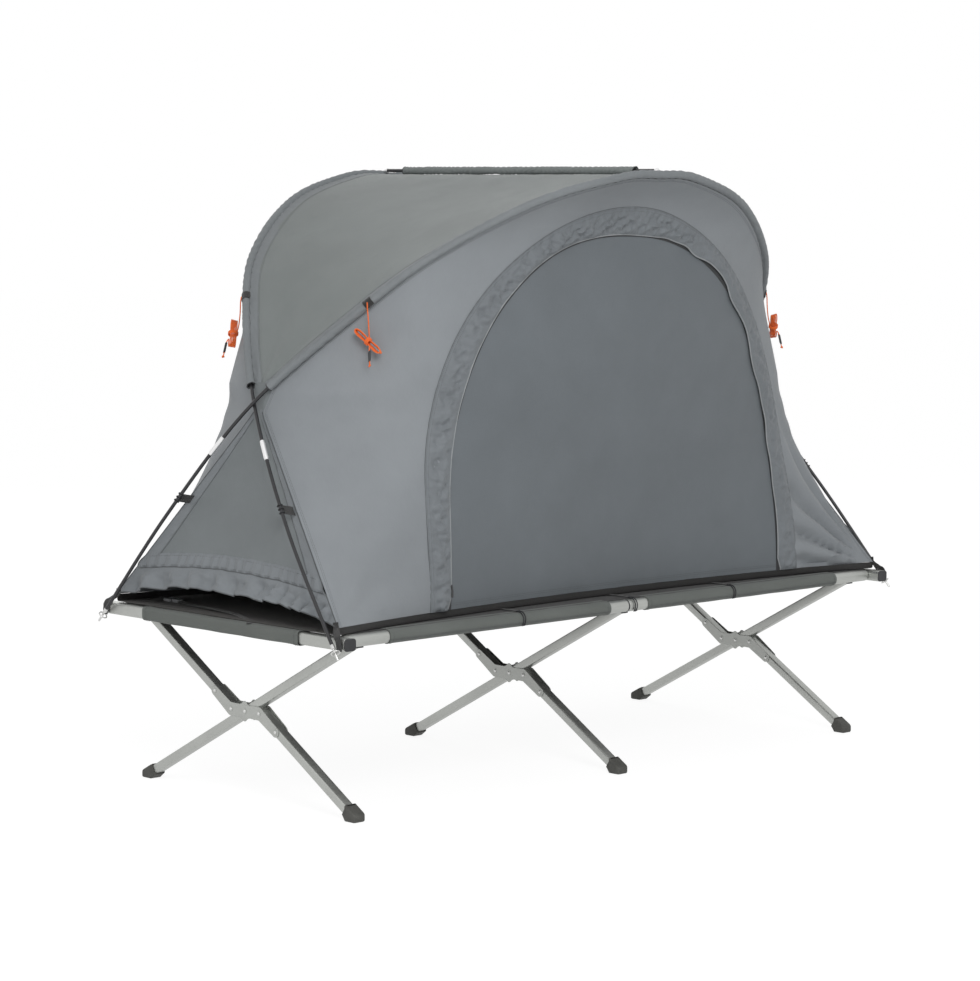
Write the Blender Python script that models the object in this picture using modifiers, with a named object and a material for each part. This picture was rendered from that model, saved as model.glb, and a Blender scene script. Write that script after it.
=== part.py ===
"""One-person tent standing on a folding aluminium camp cot.

Metres, +Z up. X runs along the cot, Y across it, and the origin is on the floor under the middle.
The cot's three X-shaped leg sets fold about the side rails and the hubs. The tent's two long poles
cross at both ends, and each leans out over one long side as an arch.
"""
import math

import bmesh
import bpy
import numpy as np
from mathutils import Matrix, Vector

# Clearances
GAP = 0.0003
SLIDE_GAP = 0.0004

# Cot frame
RAIL_Y = 0.386
RAIL_R = 0.0150
RAIL_WALL = 0.0016
RAIL_Z = 0.4132
RAIL_END = 0.9105
LEG_X = 0.856
SLEEVE_CLOTH = 0.0009
SLEEVE_START = 0.066
SLEEVE_END = 0.780
HEM_TAIL = 46
HEM_TOP = 65
HEM_STEPS = 14
HEM_MID = (RAIL_R + GAP + SLEEVE_CLOTH / 2) / math.cos(math.radians(180 / HEM_STEPS))
DOWEL_LENGTH = 0.120
DOWEL_FLANGE = 0.0040
SPIGOT_LENGTH = 0.024
BAR_WIDTH = 0.034
BAR_HEIGHT = 0.028
BAR_WALL = 0.0016
BAR_CHAMFER = 0.0060
BAR_HALF = 0.432
BAR_PLUG = 0.003
BAR_SLEEVE_HALF = 0.280
BAR_X = RAIL_END + SLEEVE_CLOTH + 2 * GAP + BAR_WIDTH / 2

# Legs
HUB_Z = 0.2067
LEG_WIDTH = 0.026
LEG_DEPTH = 0.021
LEG_WALL = 0.0014
LEG_CHAMFER = 0.0030
RIVET_R = 0.0028
RIVET_HEAD = 0.0055
RIVET_HEAD_H = 0.0022
HUB_RIVET_Y = 0.0500
HUB_ARM = 0.0690
PLATE_T = 0.0016
PLATE_R = 0.0120
PLATE_BAR = 0.0160
PLATE_DIP = 0.0152
PLATE_BUMP = 0.0240
BUMP_R = 0.0095
HALF_END = 0.0060
SADDLE_T = 0.0032
SADDLE_WIDTH = 0.0194
SADDLE_STEM = 0.034
SADDLE_WRAP = math.radians(60)
FOOT_TOP = 0.024
FOOT_WALL = 0.0035
FOOT_SOLE = 0.034
FOOT_WIDTH = 0.036
FOOT_NOSE = 0.007
SOCKET_ROOM = 0.003
LEG_END_Z = 0.016

# Tent
CLOTH = 0.0012
TENT_Z = RAIL_Z + HEM_MID + SLEEVE_CLOTH / 2 + CLOTH + 2.2 * GAP
POLE_R = 0.00425
TIP_R = 0.0026
CROSS_X = 0.8440
CROSS_Z = 0.9150
ARCH_Y = 0.4900
ARCH_Z = 1.4505
RING_X = 0.9585
RING_Y = 0.4190
RING_Z = 0.3970
RING_R = 0.0100
RING_WIRE = 0.0015
SLEEVE_R = 0.0100
SLEEVE_BORE = 0.0053
SLEEVE_CUT = 0.060
SEAM = SLEEVE_R + 3 * GAP
ROOF_SAG = 0.030
ROOF_COLUMNS = 6
SILL_Z = TENT_Z + 0.016
WALL_CORNER_X = 0.932
WALL_CORNER_Y = 0.398
WALL_BOW = 0.085
SKIRT_RISE = 0.030
PANEL_HOLLOW = 0.018
PANEL_ROWS = 8
SEAM_TOP_X = 0.826
SEAM_TOP_Y = 0.012
SEAM_TOP_Z = 0.898
GUSSET_INSET = 0.08
GUSSET_DROP = 0.0075
DOOR_HALF = 0.603
DOOR_HEIGHT = 0.865
DOOR_GAP = 0.0012
FLAP_START = 0.004
FLAP_OVER = 0.062
FLAP_LIFT = 0.0008
ROOF_POLE_Z = SLEEVE_R - 2 * GAP
ROOF_SLEEVE_CUT = 0.085
KNOB = 0.010
STRAP_WIDTH = 0.022
STRAP_T = 0.0016
STRAP_FROM, STRAP_TO = math.radians(-95), math.radians(30)
TIP_LENGTH = 0.034
TIP_BEYOND = 0.020
POLE_BOW = 0.022
FERRULE_START = 0.535
TAB_WIDTH = 0.024
TAB_T = 0.0016
TAB_PLACE = 0.395
TAB_INSET = 0.3
CLIP_WALL = 0.0018
HOOK_X = (-0.36, 0.02, 0.38)
HOOK_WIDTH = 0.010
SLIDER_LENGTH = 0.024
SLIDER_R = 0.0040
SLIDER_DROP = 0.010
FERRULE_R = 0.0060
FERRULE_LENGTH = 0.062
FITTING_STEP = 0.0004

# Guy lines: a hank of loops hangs from a strap on each shoulder of the arches
CORD_R = 0.0014
HANK_RUN = 0.074
HANK_LOOPS = 5
LOOP_POINTS = 16
HANK_DROP = 0.090
HANK_PITCH = 0.0034
HANK_WAIST = 0.45
HANK_END_R = 0.0105
GUY_Z = 1.152

MATERIALS = {
    "aluminium": ((0.37, 0.38, 0.36), 0.38, 0.85),
    "steel": ((0.33, 0.33, 0.33), 0.35, 0.90),
    "hub_steel": ((0.30, 0.31, 0.30), 0.42, 0.80),
    "black_plastic": ((0.025, 0.026, 0.028), 0.55, 0.0),
    "rubber": ((0.03, 0.03, 0.03), 0.80, 0.0),
    "sleeve_cloth": ((0.10, 0.11, 0.105), 0.85, 0.0),
    "bed_cloth": ((0.022, 0.021, 0.020), 0.90, 0.0),
    "tent_cloth": ((0.19, 0.21, 0.22), 0.65, 0.0),
    "door_cloth": ((0.14, 0.15, 0.165), 0.70, 0.0),
    "webbing": ((0.02, 0.02, 0.02), 0.85, 0.0),
    "fibreglass": ((0.018, 0.018, 0.020), 0.30, 0.0),
    "guy_cord": ((0.85, 0.18, 0.03), 0.70, 0.0),
}

for item in list(bpy.data.objects):
    bpy.data.objects.remove(item, do_unlink=True)

parts = bpy.data.collections.new("camping_tent")
cutters = bpy.data.collections.new("cutters")
bpy.context.scene.collection.children.link(parts)
bpy.context.scene.collection.children.link(cutters)


def make_materials():
    made = {}
    for name, (colour, roughness, metallic) in MATERIALS.items():
        mat = bpy.data.materials.new(name)
        mat.use_nodes = True
        shader = mat.node_tree.nodes["Principled BSDF"]
        shader.inputs["Base Color"].default_value = (*colour, 1.0)
        shader.inputs["Roughness"].default_value = roughness
        shader.inputs["Metallic"].default_value = metallic
        mat.diffuse_color = (*colour, 1.0)
        made[name] = mat
    return made


SHADES = make_materials()


def add(name, data, shade, collection=parts):
    """A new object from mesh or curve data, in its material."""
    obj = bpy.data.objects.new(name, data)
    collection.objects.link(obj)
    data.materials.clear()
    data.materials.append(SHADES[shade])
    return obj


def from_bmesh(name, bm, shade, collection=parts, sharp=35):
    """Turn a bmesh into an object with faces pointing out and round sides smooth."""
    bmesh.ops.recalc_face_normals(bm, faces=bm.faces)
    mesh = bpy.data.meshes.new(name)
    bm.to_mesh(mesh)
    bm.free()
    mesh.shade_smooth()
    mesh.set_sharp_from_angle(angle=math.radians(sharp))
    return add(name, mesh, shade, collection)


def outline(name, loops, length, shade, collection=parts):
    """A flat outline with its holes, extruded by length along its own Z."""
    data = bpy.data.curves.new(name, "CURVE")
    data.dimensions = "2D"
    data.fill_mode = "BOTH"
    data.extrude = length / 2
    for loop in loops:
        spline = data.splines.new("POLY")
        spline.points.add(len(loop) - 1)
        for point, (u, v) in zip(spline.points, loop):
            point.co = (u, v, 0, 1)
        spline.use_cyclic_u = True
    return add(name, data, shade, collection)


def wire(name, routes, radius, shade, resolution=1):
    """Round bars along point routes, one spline each, with filled ends."""
    data = bpy.data.curves.new(name, "CURVE")
    data.dimensions = "3D"
    data.bevel_depth = radius
    data.bevel_resolution = resolution
    data.use_fill_caps = True
    for route in routes:
        spline = data.splines.new("POLY")
        spline.points.add(len(route) - 1)
        for point, co in zip(spline.points, route):
            point.co = (*co, 1)
    return add(name, data, shade)


def solid(obj):
    """Replace a curve object by its closed mesh."""
    bpy.context.view_layer.update()
    graph = bpy.context.evaluated_depsgraph_get()
    mesh = bpy.data.meshes.new_from_object(obj.evaluated_get(graph))
    bm = bmesh.new()
    bm.from_mesh(mesh)
    bmesh.ops.remove_doubles(bm, verts=bm.verts, dist=0.00002)
    bmesh.ops.recalc_face_normals(bm, faces=bm.faces)
    bm.to_mesh(mesh)
    bm.free()
    mesh.set_sharp_from_angle(angle=math.radians(35))
    name, shade, home = obj.name, obj.data.materials[0].name, obj.users_collection[0]
    place = obj.matrix_world.copy()
    bpy.data.objects.remove(obj, do_unlink=True)
    new = add(name, mesh, shade, home)
    new.matrix_world = place
    return new


def tool(obj, target, operation):
    """Use one object on another as a Boolean tool, kept in the cutters' collection."""
    for home in list(obj.users_collection):
        home.objects.unlink(obj)
    cutters.objects.link(obj)
    obj.hide_render = True
    obj.display_type = "WIRE"
    step = target.modifiers.new(operation.lower(), "BOOLEAN")
    step.operation = operation
    step.solver = "EXACT"
    step.object = obj


def fuse(target, pieces):
    """Make what is sewn, welded or riveted to a piece one body with it."""
    for piece in pieces:
        tool(piece, target, "UNION")
    return target


def cut(target, pieces):
    """Cut holes with the given pieces."""
    for piece in pieces:
        tool(piece, target, "DIFFERENCE")
    return target


def circle(radius, count, centre=(0.0, 0.0), turn=0.0):
    return [(centre[0] + radius * math.cos(2 * math.pi * i / count + turn),
             centre[1] + radius * math.sin(2 * math.pi * i / count + turn)) for i in range(count)]


def arc(centre, radius, start, end, steps):
    return [(centre[0] + radius * math.cos(start + (end - start) * i / steps),
             centre[1] + radius * math.sin(start + (end - start) * i / steps)) for i in range(steps + 1)]


def chamfered(width, depth, cut):
    """A rectangle with cut corners, counterclockwise."""
    w, d = width / 2, depth / 2
    return [(w - cut, -d), (w, -d + cut), (w, d - cut), (w - cut, d),
            (-w + cut, d), (-w, d - cut), (-w, -d + cut), (-w + cut, -d)]


ALONG_X = (math.pi / 2, 0, math.pi / 2)
ALONG_Y = (math.pi / 2, 0, 0)


def along_x(obj, x, y=0.0, z=0.0):
    obj.rotation_euler = ALONG_X
    obj.location = (x, y, z)
    return obj


def cylinder_x(name, radius, length, centre, shade="steel", sides=8, collection=parts):
    bm = bmesh.new()
    bmesh.ops.create_cone(bm, cap_ends=True, segments=sides, radius1=radius, radius2=radius,
                          depth=length, matrix=Matrix.Rotation(math.pi / 2, 4, "Y"))
    obj = from_bmesh(name, bm, shade, collection)
    obj.location = centre
    return obj


def drill_x(centre, radius=RIVET_R + GAP, length=0.06):
    return cylinder_x("drill", radius / math.cos(math.pi / 8), length, centre)


def loft(name, sections, shade, sharp=35):
    """A closed skin over sections that have the same number of points."""
    bm = bmesh.new()
    rings = [[bm.verts.new(p) for p in section] for section in sections]
    count = len(rings[0])
    for low, high in zip(rings, rings[1:]):
        for i in range(count):
            j = (i + 1) % count
            bm.faces.new((low[i], low[j], high[j], high[i]))
    bm.faces.new(rings[0][::-1])
    bm.faces.new(rings[-1])
    return from_bmesh(name, bm, shade, sharp=sharp)


def sweep_frames(points):
    """Two unit vectors across a smooth route at each point, turning as little as they can."""
    tangents = [(points[min(i + 1, len(points) - 1)] - points[max(i - 1, 0)]).normalized()
                for i in range(len(points))]
    side = tangents[0].orthogonal().normalized()
    frames = []
    for tangent in tangents:
        side = (side - tangent * side.dot(tangent)).normalized()
        frames.append((side, tangent.cross(side)))
    return frames


def sweep_pipe(name, routes, outer, inner, sides, shade):
    """Open-ended pipes along routes, each a closed solid with its bore."""
    bm = bmesh.new()
    for points in routes:
        rings = []
        for point, (side, up) in zip(points, sweep_frames(points)):
            pair = []
            for radius in (outer, inner):
                pair.append([bm.verts.new(point + side * (radius * math.cos(2 * math.pi * k / sides))
                                          + up * (radius * math.sin(2 * math.pi * k / sides)))
                             for k in range(sides)])
            rings.append(pair)
        for (low_out, low_in), (high_out, high_in) in zip(rings, rings[1:]):
            for k in range(sides):
                j = (k + 1) % sides
                bm.faces.new((low_out[k], low_out[j], high_out[j], high_out[k]))
                bm.faces.new((low_in[j], low_in[k], high_in[k], high_in[j]))
        for (ring_out, ring_in) in (rings[0], rings[-1]):
            for k in range(sides):
                j = (k + 1) % sides
                bm.faces.new((ring_out[k], ring_out[j], ring_in[j], ring_in[k]))
    return from_bmesh(name, bm, shade)


def sheet(name, grids, shade, thickness=CLOTH, offset=0.0, sharp=60):
    """Cloth panels: grids of points given a thickness."""
    bm = bmesh.new()
    for grid in grids:
        rows = [[bm.verts.new(p) for p in row] for row in grid]
        for low, high in zip(rows, rows[1:]):
            for i in range(len(low) - 1):
                bm.faces.new((low[i], low[i + 1], high[i + 1], high[i]))
        bmesh.ops.remove_doubles(bm, verts=bm.verts, dist=0.00001)
    obj = from_bmesh(name, bm, shade, sharp=sharp)
    thick = obj.modifiers.new("thickness", "SOLIDIFY")
    thick.thickness = thickness
    thick.offset = offset
    thick.use_even_offset = True
    return obj


def strap(name, route, width, thickness, shade):
    """Flat webbing along a route, a list of (point, width direction)."""
    points = [Vector(p) for p, _ in route]
    sections = []
    for i, (_, across) in enumerate(route):
        tangent = (points[min(i + 1, len(points) - 1)] - points[max(i - 1, 0)]).normalized()
        side = Vector(across)
        side = (side - tangent * side.dot(tangent)).normalized() * (width / 2)
        up = tangent.cross(side).normalized() * (thickness / 2)
        sections.append([points[i] - side - up, points[i] + side - up,
                         points[i] + side + up, points[i] - side + up])
    return loft(name, sections, shade)


def catmull(points, steps):
    """A smooth route through the given points, with the given number of steps in each stretch."""
    pts = [Vector(p) for p in points]
    ends = [pts[0] * 2 - pts[1]] + pts + [pts[-1] * 2 - pts[-2]]
    route = []
    for i in range(1, len(ends) - 2):
        a, b, c, d = ends[i - 1:i + 3]
        for k in range(steps):
            t = k / steps
            route.append(0.5 * (2 * b + (c - a) * t + (2 * a - 5 * b + 4 * c - d) * t ** 2
                                + (3 * b - a - 3 * c + d) * t ** 3))
    route.append(pts[-1])
    return route


def frame_tubes():
    """Both side rails: two tube halves on a dowel whose flange shows as a dark ring between them."""
    bore = RAIL_R - RAIL_WALL
    for side, y in (("front", -RAIL_Y), ("back", RAIL_Y)):
        for end, sign in (("left", -1), ("right", 1)):
            length = RAIL_END - DOWEL_FLANGE / 2 - GAP
            tube = outline(f"{side}_rail_{end}", [circle(RAIL_R, 16), circle(bore, 12)], length, "aluminium")
            solid(along_x(tube, sign * (RAIL_END - length / 2), y, RAIL_Z))
        dowel = cylinder_x(f"{side}_rail_dowel", bore - GAP, DOWEL_LENGTH,
                           (0, y, RAIL_Z), "black_plastic", 12)
        fuse(dowel, [cylinder_x("flange", RAIL_R, DOWEL_FLANGE, (0, y, RAIL_Z), "black_plastic", 16)])


def end_bars():
    """The two end bars, each with its spigot in the front rail, its plugs and its cloth sleeve."""
    bore = RAIL_R - RAIL_WALL
    for end, sign in (("left", -1), ("right", 1)):
        outer = chamfered(BAR_WIDTH, BAR_HEIGHT, BAR_CHAMFER)
        inner = chamfered(BAR_WIDTH - 2 * BAR_WALL, BAR_HEIGHT - 2 * BAR_WALL, BAR_CHAMFER - BAR_WALL / 2)
        bar = outline(f"{end}_end_bar", [outer, inner], 2 * BAR_HALF, "aluminium")
        bar.rotation_euler = ALONG_Y
        bar.location = (sign * BAR_X, 0, RAIL_Z)
        bar = solid(bar)
        root = BAR_X - BAR_WIDTH / 2 + BAR_WALL / 2
        place = (sign * (root - SPIGOT_LENGTH / 2), -RAIL_Y, RAIL_Z)
        spigot = cylinder_x("spigot", bore - SLIDE_GAP, SPIGOT_LENGTH, place, "aluminium", 12)
        fuse(bar, [spigot])
        for side, way in (("front", -1), ("back", 1)):
            cap = outline(f"{end}_bar_plug_{side}", [outer], BAR_PLUG, "black_plastic")
            cap.rotation_euler = ALONG_Y
            cap.location = (sign * BAR_X, way * (BAR_HALF + GAP + BAR_PLUG / 2), RAIL_Z)
            solid(cap)
        gap = GAP * 2
        hem = outline(f"{end}_bar_sleeve",
                      [chamfered(BAR_WIDTH + gap + 2 * SLEEVE_CLOTH, BAR_HEIGHT + gap + 2 * SLEEVE_CLOTH,
                                 BAR_CHAMFER + SLEEVE_CLOTH / 2),
                       chamfered(BAR_WIDTH + gap, BAR_HEIGHT + gap, BAR_CHAMFER)],
                      2 * BAR_SLEEVE_HALF, "sleeve_cloth")
        hem.rotation_euler = ALONG_Y
        hem.location = (sign * BAR_X, 0, RAIL_Z)
        solid(hem)


def leg_tube(name, x, start, end):
    """A hollow leg between two points (y, z) in the plane of its set."""
    dy, dz = end[0] - start[0], end[1] - start[1]
    length = math.hypot(dy, dz)
    tube = outline(name, [chamfered(LEG_WIDTH, LEG_DEPTH, LEG_CHAMFER),
                          chamfered(LEG_WIDTH - 2 * LEG_WALL, LEG_DEPTH - 2 * LEG_WALL, LEG_CHAMFER * 0.6)],
                   length, "aluminium")
    tube.rotation_euler = (math.atan2(-dy, dz), 0, 0)
    tube.location = (x, (start[0] + end[0]) / 2, (start[1] + end[1]) / 2)
    return solid(tube)


def unit(dy, dz):
    length = math.hypot(dy, dz)
    return dy / length, dz / length


LEG_SETS = (("left", -LEG_X), ("middle", 0.0), ("right", LEG_X))
RISE = unit(RAIL_Y, RAIL_Z - HUB_Z)
HALF_DIR = unit(RAIL_Y - HUB_RIVET_Y, RAIL_Z - HUB_Z)
LEG_TOP = RAIL_R + GAP + SADDLE_T + GAP
STEM_RIVET = LEG_TOP + SADDLE_STEM * 0.55
FOOT_Y = HUB_Z * RISE[0] / RISE[1]
HALF_FOOT_Y = HUB_RIVET_Y + HUB_Z * HALF_DIR[0] / HALF_DIR[1]


def straight_legs():
    """Three straight legs, each from the front rail to a back foot."""
    for end, x in LEG_SETS:
        top = (-RAIL_Y + RISE[0] * LEG_TOP, RAIL_Z - RISE[1] * LEG_TOP)
        foot = ((HUB_Z - LEG_END_Z) * RISE[0] / RISE[1], LEG_END_Z)
        leg = leg_tube(f"straight_leg_{end}", x, top, foot)
        pin = (x, -RAIL_Y + RISE[0] * STEM_RIVET, RAIL_Z - RISE[1] * STEM_RIVET)
        cut(leg, [drill_x((x, 0, HUB_Z)), drill_x(pin)])


def split_legs():
    """The other leg of each X, in two halves that leave room for the straight one."""
    dy, dz = HALF_DIR
    for end, x in LEG_SETS:
        near = (HUB_RIVET_Y - dy * HALF_END, HUB_Z - dz * HALF_END)
        top = (RAIL_Y - dy * LEG_TOP, RAIL_Z - dz * LEG_TOP)
        upper = leg_tube(f"upper_leg_{end}", x, near, top)
        cut(upper, [drill_x((x, HUB_RIVET_Y, HUB_Z)),
                    drill_x((x, HUB_RIVET_Y + dy * HUB_ARM, HUB_Z + dz * HUB_ARM)),
                    drill_x((x, RAIL_Y - dy * STEM_RIVET, RAIL_Z - dz * STEM_RIVET))])
        foot = (-HUB_RIVET_Y - (HUB_Z - LEG_END_Z) * dy / dz, LEG_END_Z)
        lower = leg_tube(f"lower_leg_{end}", x, (-HUB_RIVET_Y + dy * HALF_END, HUB_Z + dz * HALF_END), foot)
        cut(lower, [drill_x((x, -HUB_RIVET_Y, HUB_Z)),
                    drill_x((x, -HUB_RIVET_Y - dy * HUB_ARM, HUB_Z - dz * HUB_ARM))])


def hub_outline():
    """The stamped plate: a bar with a rounded bump over and under the pivot, and an arm on each leg half."""
    tilt = math.atan2(HALF_DIR[1], HALF_DIR[0])
    arm = (HUB_RIVET_Y + HALF_DIR[0] * HUB_ARM, HALF_DIR[1] * HUB_ARM)
    half = arc(arm, PLATE_R, tilt - math.pi / 2, tilt + math.pi / 2, 6)
    half += [(HUB_RIVET_Y, PLATE_BAR), (2 * BUMP_R, PLATE_DIP)]
    half += arc((0, PLATE_BUMP - BUMP_R), BUMP_R, math.radians(30), math.radians(150), 4)
    half += [(-2 * BUMP_R, PLATE_DIP)]
    half += arc((-HUB_RIVET_Y, 0), PLATE_BAR, math.radians(95), tilt + math.pi / 2, 2)
    return half + [(-u, -v) for u, v in half]


def rivet(x, y, z, half):
    """A rivet along X with a head beyond each side of what it holds."""
    profile = [(half + RIVET_HEAD_H, RIVET_HEAD * 0.62), (half + RIVET_HEAD_H * 0.6, RIVET_HEAD),
               (half, RIVET_HEAD), (half, RIVET_R)]
    profile += [(-h, r) for h, r in reversed(profile)]
    turns = [2 * math.pi * k / 8 + math.pi / 8 for k in range(8)]
    rings = [[(x + h, y + r * math.cos(a), z + r * math.sin(a)) for a in turns] for h, r in profile]
    return loft("rivet", rings, "steel")


def hubs():
    """A pair of stamped plates at each hub, riveted to the split leg's halves and round the straight leg."""
    arm = (HUB_RIVET_Y + HALF_DIR[0] * HUB_ARM, HALF_DIR[1] * HUB_ARM)
    spots = [(0, 0), (HUB_RIVET_Y, 0), (-HUB_RIVET_Y, 0), arm, (-arm[0], -arm[1])]
    plated = LEG_WIDTH / 2 + GAP + PLATE_T
    for end, x in LEG_SETS:
        pair = []
        for side in (-1, 1):
            plate = outline(f"hub_{end}", [hub_outline()], PLATE_T, "hub_steel")
            offset = side * (LEG_WIDTH / 2 + GAP + PLATE_T / 2)
            pair.append(solid(along_x(plate, x + offset, 0, HUB_Z)))
        pair[0].name = f"hub_{end}"
        pair[1].name = "second_plate"
        fuse(pair[0], [rivet(x, y, HUB_Z + z, plated - GAP / 2) for y, z in spots] + [pair[1]])


def saddles():
    """Cradles under the rails that plug into the legs' top ends, each with its rivet."""
    inner, outer = RAIL_R + GAP, RAIL_R + GAP + SADDLE_T
    width = LEG_DEPTH - 2 * LEG_WALL - 2 * GAP
    half = math.asin(width / 2 / outer)
    loop = arc((0, 0), inner, SADDLE_WRAP, -SADDLE_WRAP, 8)
    loop += arc((0, 0), outer, -SADDLE_WRAP, -half, 3)
    loop += [(LEG_TOP + SADDLE_STEM, -width / 2), (LEG_TOP + SADDLE_STEM, width / 2)]
    loop += arc((0, 0), outer, half, SADDLE_WRAP, 3)
    for side, sign, (dy, dz) in (("front", 1, RISE), ("back", -1, HALF_DIR)):
        for end, x in LEG_SETS:
            turn = math.atan2(-dz, sign * dy)
            placed = [(u * math.cos(turn) - v * math.sin(turn), u * math.sin(turn) + v * math.cos(turn))
                      for u, v in loop]
            piece = outline(f"{side}_saddle_{end}", [placed], SADDLE_WIDTH, "black_plastic")
            piece = solid(along_x(piece, x, -sign * RAIL_Y, RAIL_Z))
            pin = rivet(x, -sign * (RAIL_Y - dy * STEM_RIVET), RAIL_Z - dz * STEM_RIVET, LEG_WIDTH / 2 + GAP)
            fuse(piece, [pin])


def boot(name, x, y, toward, direction):
    """A moulded foot: a short wedge on a flat sole, whose collar holds the leg's end."""
    dy, dz = direction
    along = Vector((0, -toward * dy, dz))
    up = Vector((0, toward * dz, dy))
    base = Vector((x, y, 0))
    reach = FOOT_TOP / dz
    collar = chamfered(LEG_WIDTH + 2 * FOOT_WALL, LEG_DEPTH + 2 * FOOT_WALL, 0.0045)
    rise = LEG_DEPTH / 2 + FOOT_WALL
    top_out, top_z = dz * rise - dy * reach, FOOT_TOP + dy * rise
    sections = []
    for out, half, low in ((0.0, FOOT_WIDTH / 2 - FOOT_NOSE, FOOT_WALL), (-FOOT_NOSE, FOOT_WIDTH / 2, 0.0),
                           (-FOOT_SOLE, FOOT_WIDTH / 2, 0.0)):
        high = top_z - (out - top_out) * dz / dy - low / 2
        middle = base + Vector((0, toward * out, (low + high) / 2))
        sections.append([middle + Vector((u, 0, v)) for u, v in chamfered(2 * half, high - low, 0.004)])
    sections.append([base + along * reach + Vector((u, 0, 0)) + up * v for u, v in collar])
    return loft(name, sections, "rubber", sharp=25)


def leg_socket(x, y, toward, direction):
    """The space for the leg's end inside a boot."""
    dy, dz = direction
    along = Vector((0, -toward * dy, dz))
    length = FOOT_TOP / dz
    bm = bmesh.new()
    grow = 2 * GAP
    across = Vector((0, along.z, -along.y))
    start = Vector((x, y, 0)) + along * (LEG_END_Z / dz - SOCKET_ROOM)
    rings = [[bm.verts.new(start + along * k + Vector((u, 0, 0)) + across * v)
              for u, v in chamfered(LEG_WIDTH + grow, LEG_DEPTH + grow, LEG_CHAMFER)] for k in (0, length)]
    for i in range(8):
        bm.faces.new((rings[0][i], rings[0][(i + 1) % 8], rings[1][(i + 1) % 8], rings[1][i]))
    bm.faces.new(rings[0][::-1])
    bm.faces.new(rings[1])
    return from_bmesh("socket", bm, "rubber")


def feet():
    """Back feet on the straight legs, front feet on the split legs' lower halves."""
    for side, sign, y, direction in (("back", 1, FOOT_Y, RISE), ("front", -1, -HALF_FOOT_Y, HALF_DIR)):
        for end, x in LEG_SETS:
            cut(boot(f"{side}_foot_{end}", x, y, sign, direction), [leg_socket(x, y, sign, direction)])


def bed():
    """The bed cloth: a flat sheet whose long edges wrap round the rails as hems and are bare at the legs."""
    turns = [math.radians(HEM_TAIL - (HEM_TAIL - HEM_TOP + 360) * k / HEM_STEPS) for k in range(HEM_STEPS + 1)]
    hem = [(-RAIL_Y + HEM_MID * math.cos(a), RAIL_Z + HEM_MID * math.sin(a)) for a in turns]
    level = hem[-1][1]
    inside = -RAIL_Y + RAIL_R + 0.004
    half = hem + [(inside, level), (-0.13, level)]
    profile = half + [(-y, z) for y, z in reversed(half)]
    reach = RAIL_END - GAP
    stations = [-reach, -SLEEVE_END, -SLEEVE_START, SLEEVE_START, SLEEVE_END, reach]
    flat = range(len(hem), len(profile) - len(hem) - 1)
    bm = bmesh.new()
    grid = [[bm.verts.new((x, y, z)) for y, z in profile] for x in stations]
    for row, (low, high) in enumerate(zip(grid, grid[1:])):
        hemmed = row in (1, 3)
        for i in range(len(profile) - 1):
            if hemmed or i in flat:
                bm.faces.new((low[i], low[i + 1], high[i + 1], high[i]))
    bmesh.ops.delete(bm, geom=[v for v in bm.verts if not v.link_faces], context="VERTS")
    cloth = from_bmesh("bed_cloth", bm, "bed_cloth", sharp=60)
    thick = cloth.modifiers.new("thickness", "SOLIDIFY")
    thick.thickness = SLEEVE_CLOTH
    thick.offset = 0.0
    thick.use_even_offset = True


# Half of an arch pole, from its end in the corner ring to the middle of the arch: x, y, z.
# The arch's own side is +Y here, so the end lies at -Y, beyond the place where the poles cross.
def pole_points(side, x_shift):
    lean = ARCH_Z - CROSS_Z
    shoulders = ((0.706, 0.385), (0.578, 0.640), (0.360, 0.873), (0.130, 0.987))
    end = Vector((RING_X, -RING_Y, RING_Z))
    cross = Vector((CROSS_X + x_shift, 0.0, CROSS_Z))
    down = (end - cross).normalized()
    half = [end + down * TIP_BEYOND, end.lerp(cross, 0.5) + Vector((POLE_BOW, 0, 0)), cross]
    half += [Vector((x, ARCH_Y * k, CROSS_Z + lean * k)) for x, k in shoulders]
    middle = [Vector((0.0, ARCH_Y, ARCH_Z))]
    other = [Vector((-p.x, p.y, p.z)) for p in reversed(half)]
    return [Vector((p.x, p.y * side, p.z)) for p in half + middle + other]


POLE_STEPS = 3
POLE_SHIFT = POLE_R + GAP * 2


def pole_route(side):
    """The front pole (side -1) crosses outside the back pole (side 1)."""
    return catmull(pole_points(side, -side * POLE_SHIFT), POLE_STEPS)


CROSS_STEP = 2 * POLE_STEPS


def arch_part(side, trim=0):
    """The stretch of a pole's route between its two crossings."""
    route = pole_route(side)
    return route[CROSS_STEP + trim:len(route) - CROSS_STEP - trim]


def clip_start(points, distance):
    """Leave out the first stretch of a route."""
    walked = 0.0
    for i in range(len(points) - 1):
        step = (points[i + 1] - points[i]).length
        if walked + step > distance:
            first = points[i].lerp(points[i + 1], (distance - walked) / step)
            rest = points[i + 1:]
            if (rest[0] - first).length < 0.012:
                rest = rest[1:]
            return [first] + rest
        walked += step
    return points


def clip_ends(points, distance):
    trimmed = clip_start(points, distance)
    return clip_start(trimmed[::-1], distance)[::-1]


def distances(points):
    """How far along a route each of its points lies."""
    lengths = [0.0]
    for a, b in zip(points, points[1:]):
        lengths.append(lengths[-1] + (b - a).length)
    return lengths


def point_at(points, lengths, distance):
    """The place at a distance along a route."""
    i = max(j for j in range(len(points) - 1) if lengths[j] <= distance + 1e-9)
    return points[i].lerp(points[i + 1], (distance - lengths[i]) / (lengths[i + 1] - lengths[i]))


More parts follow.
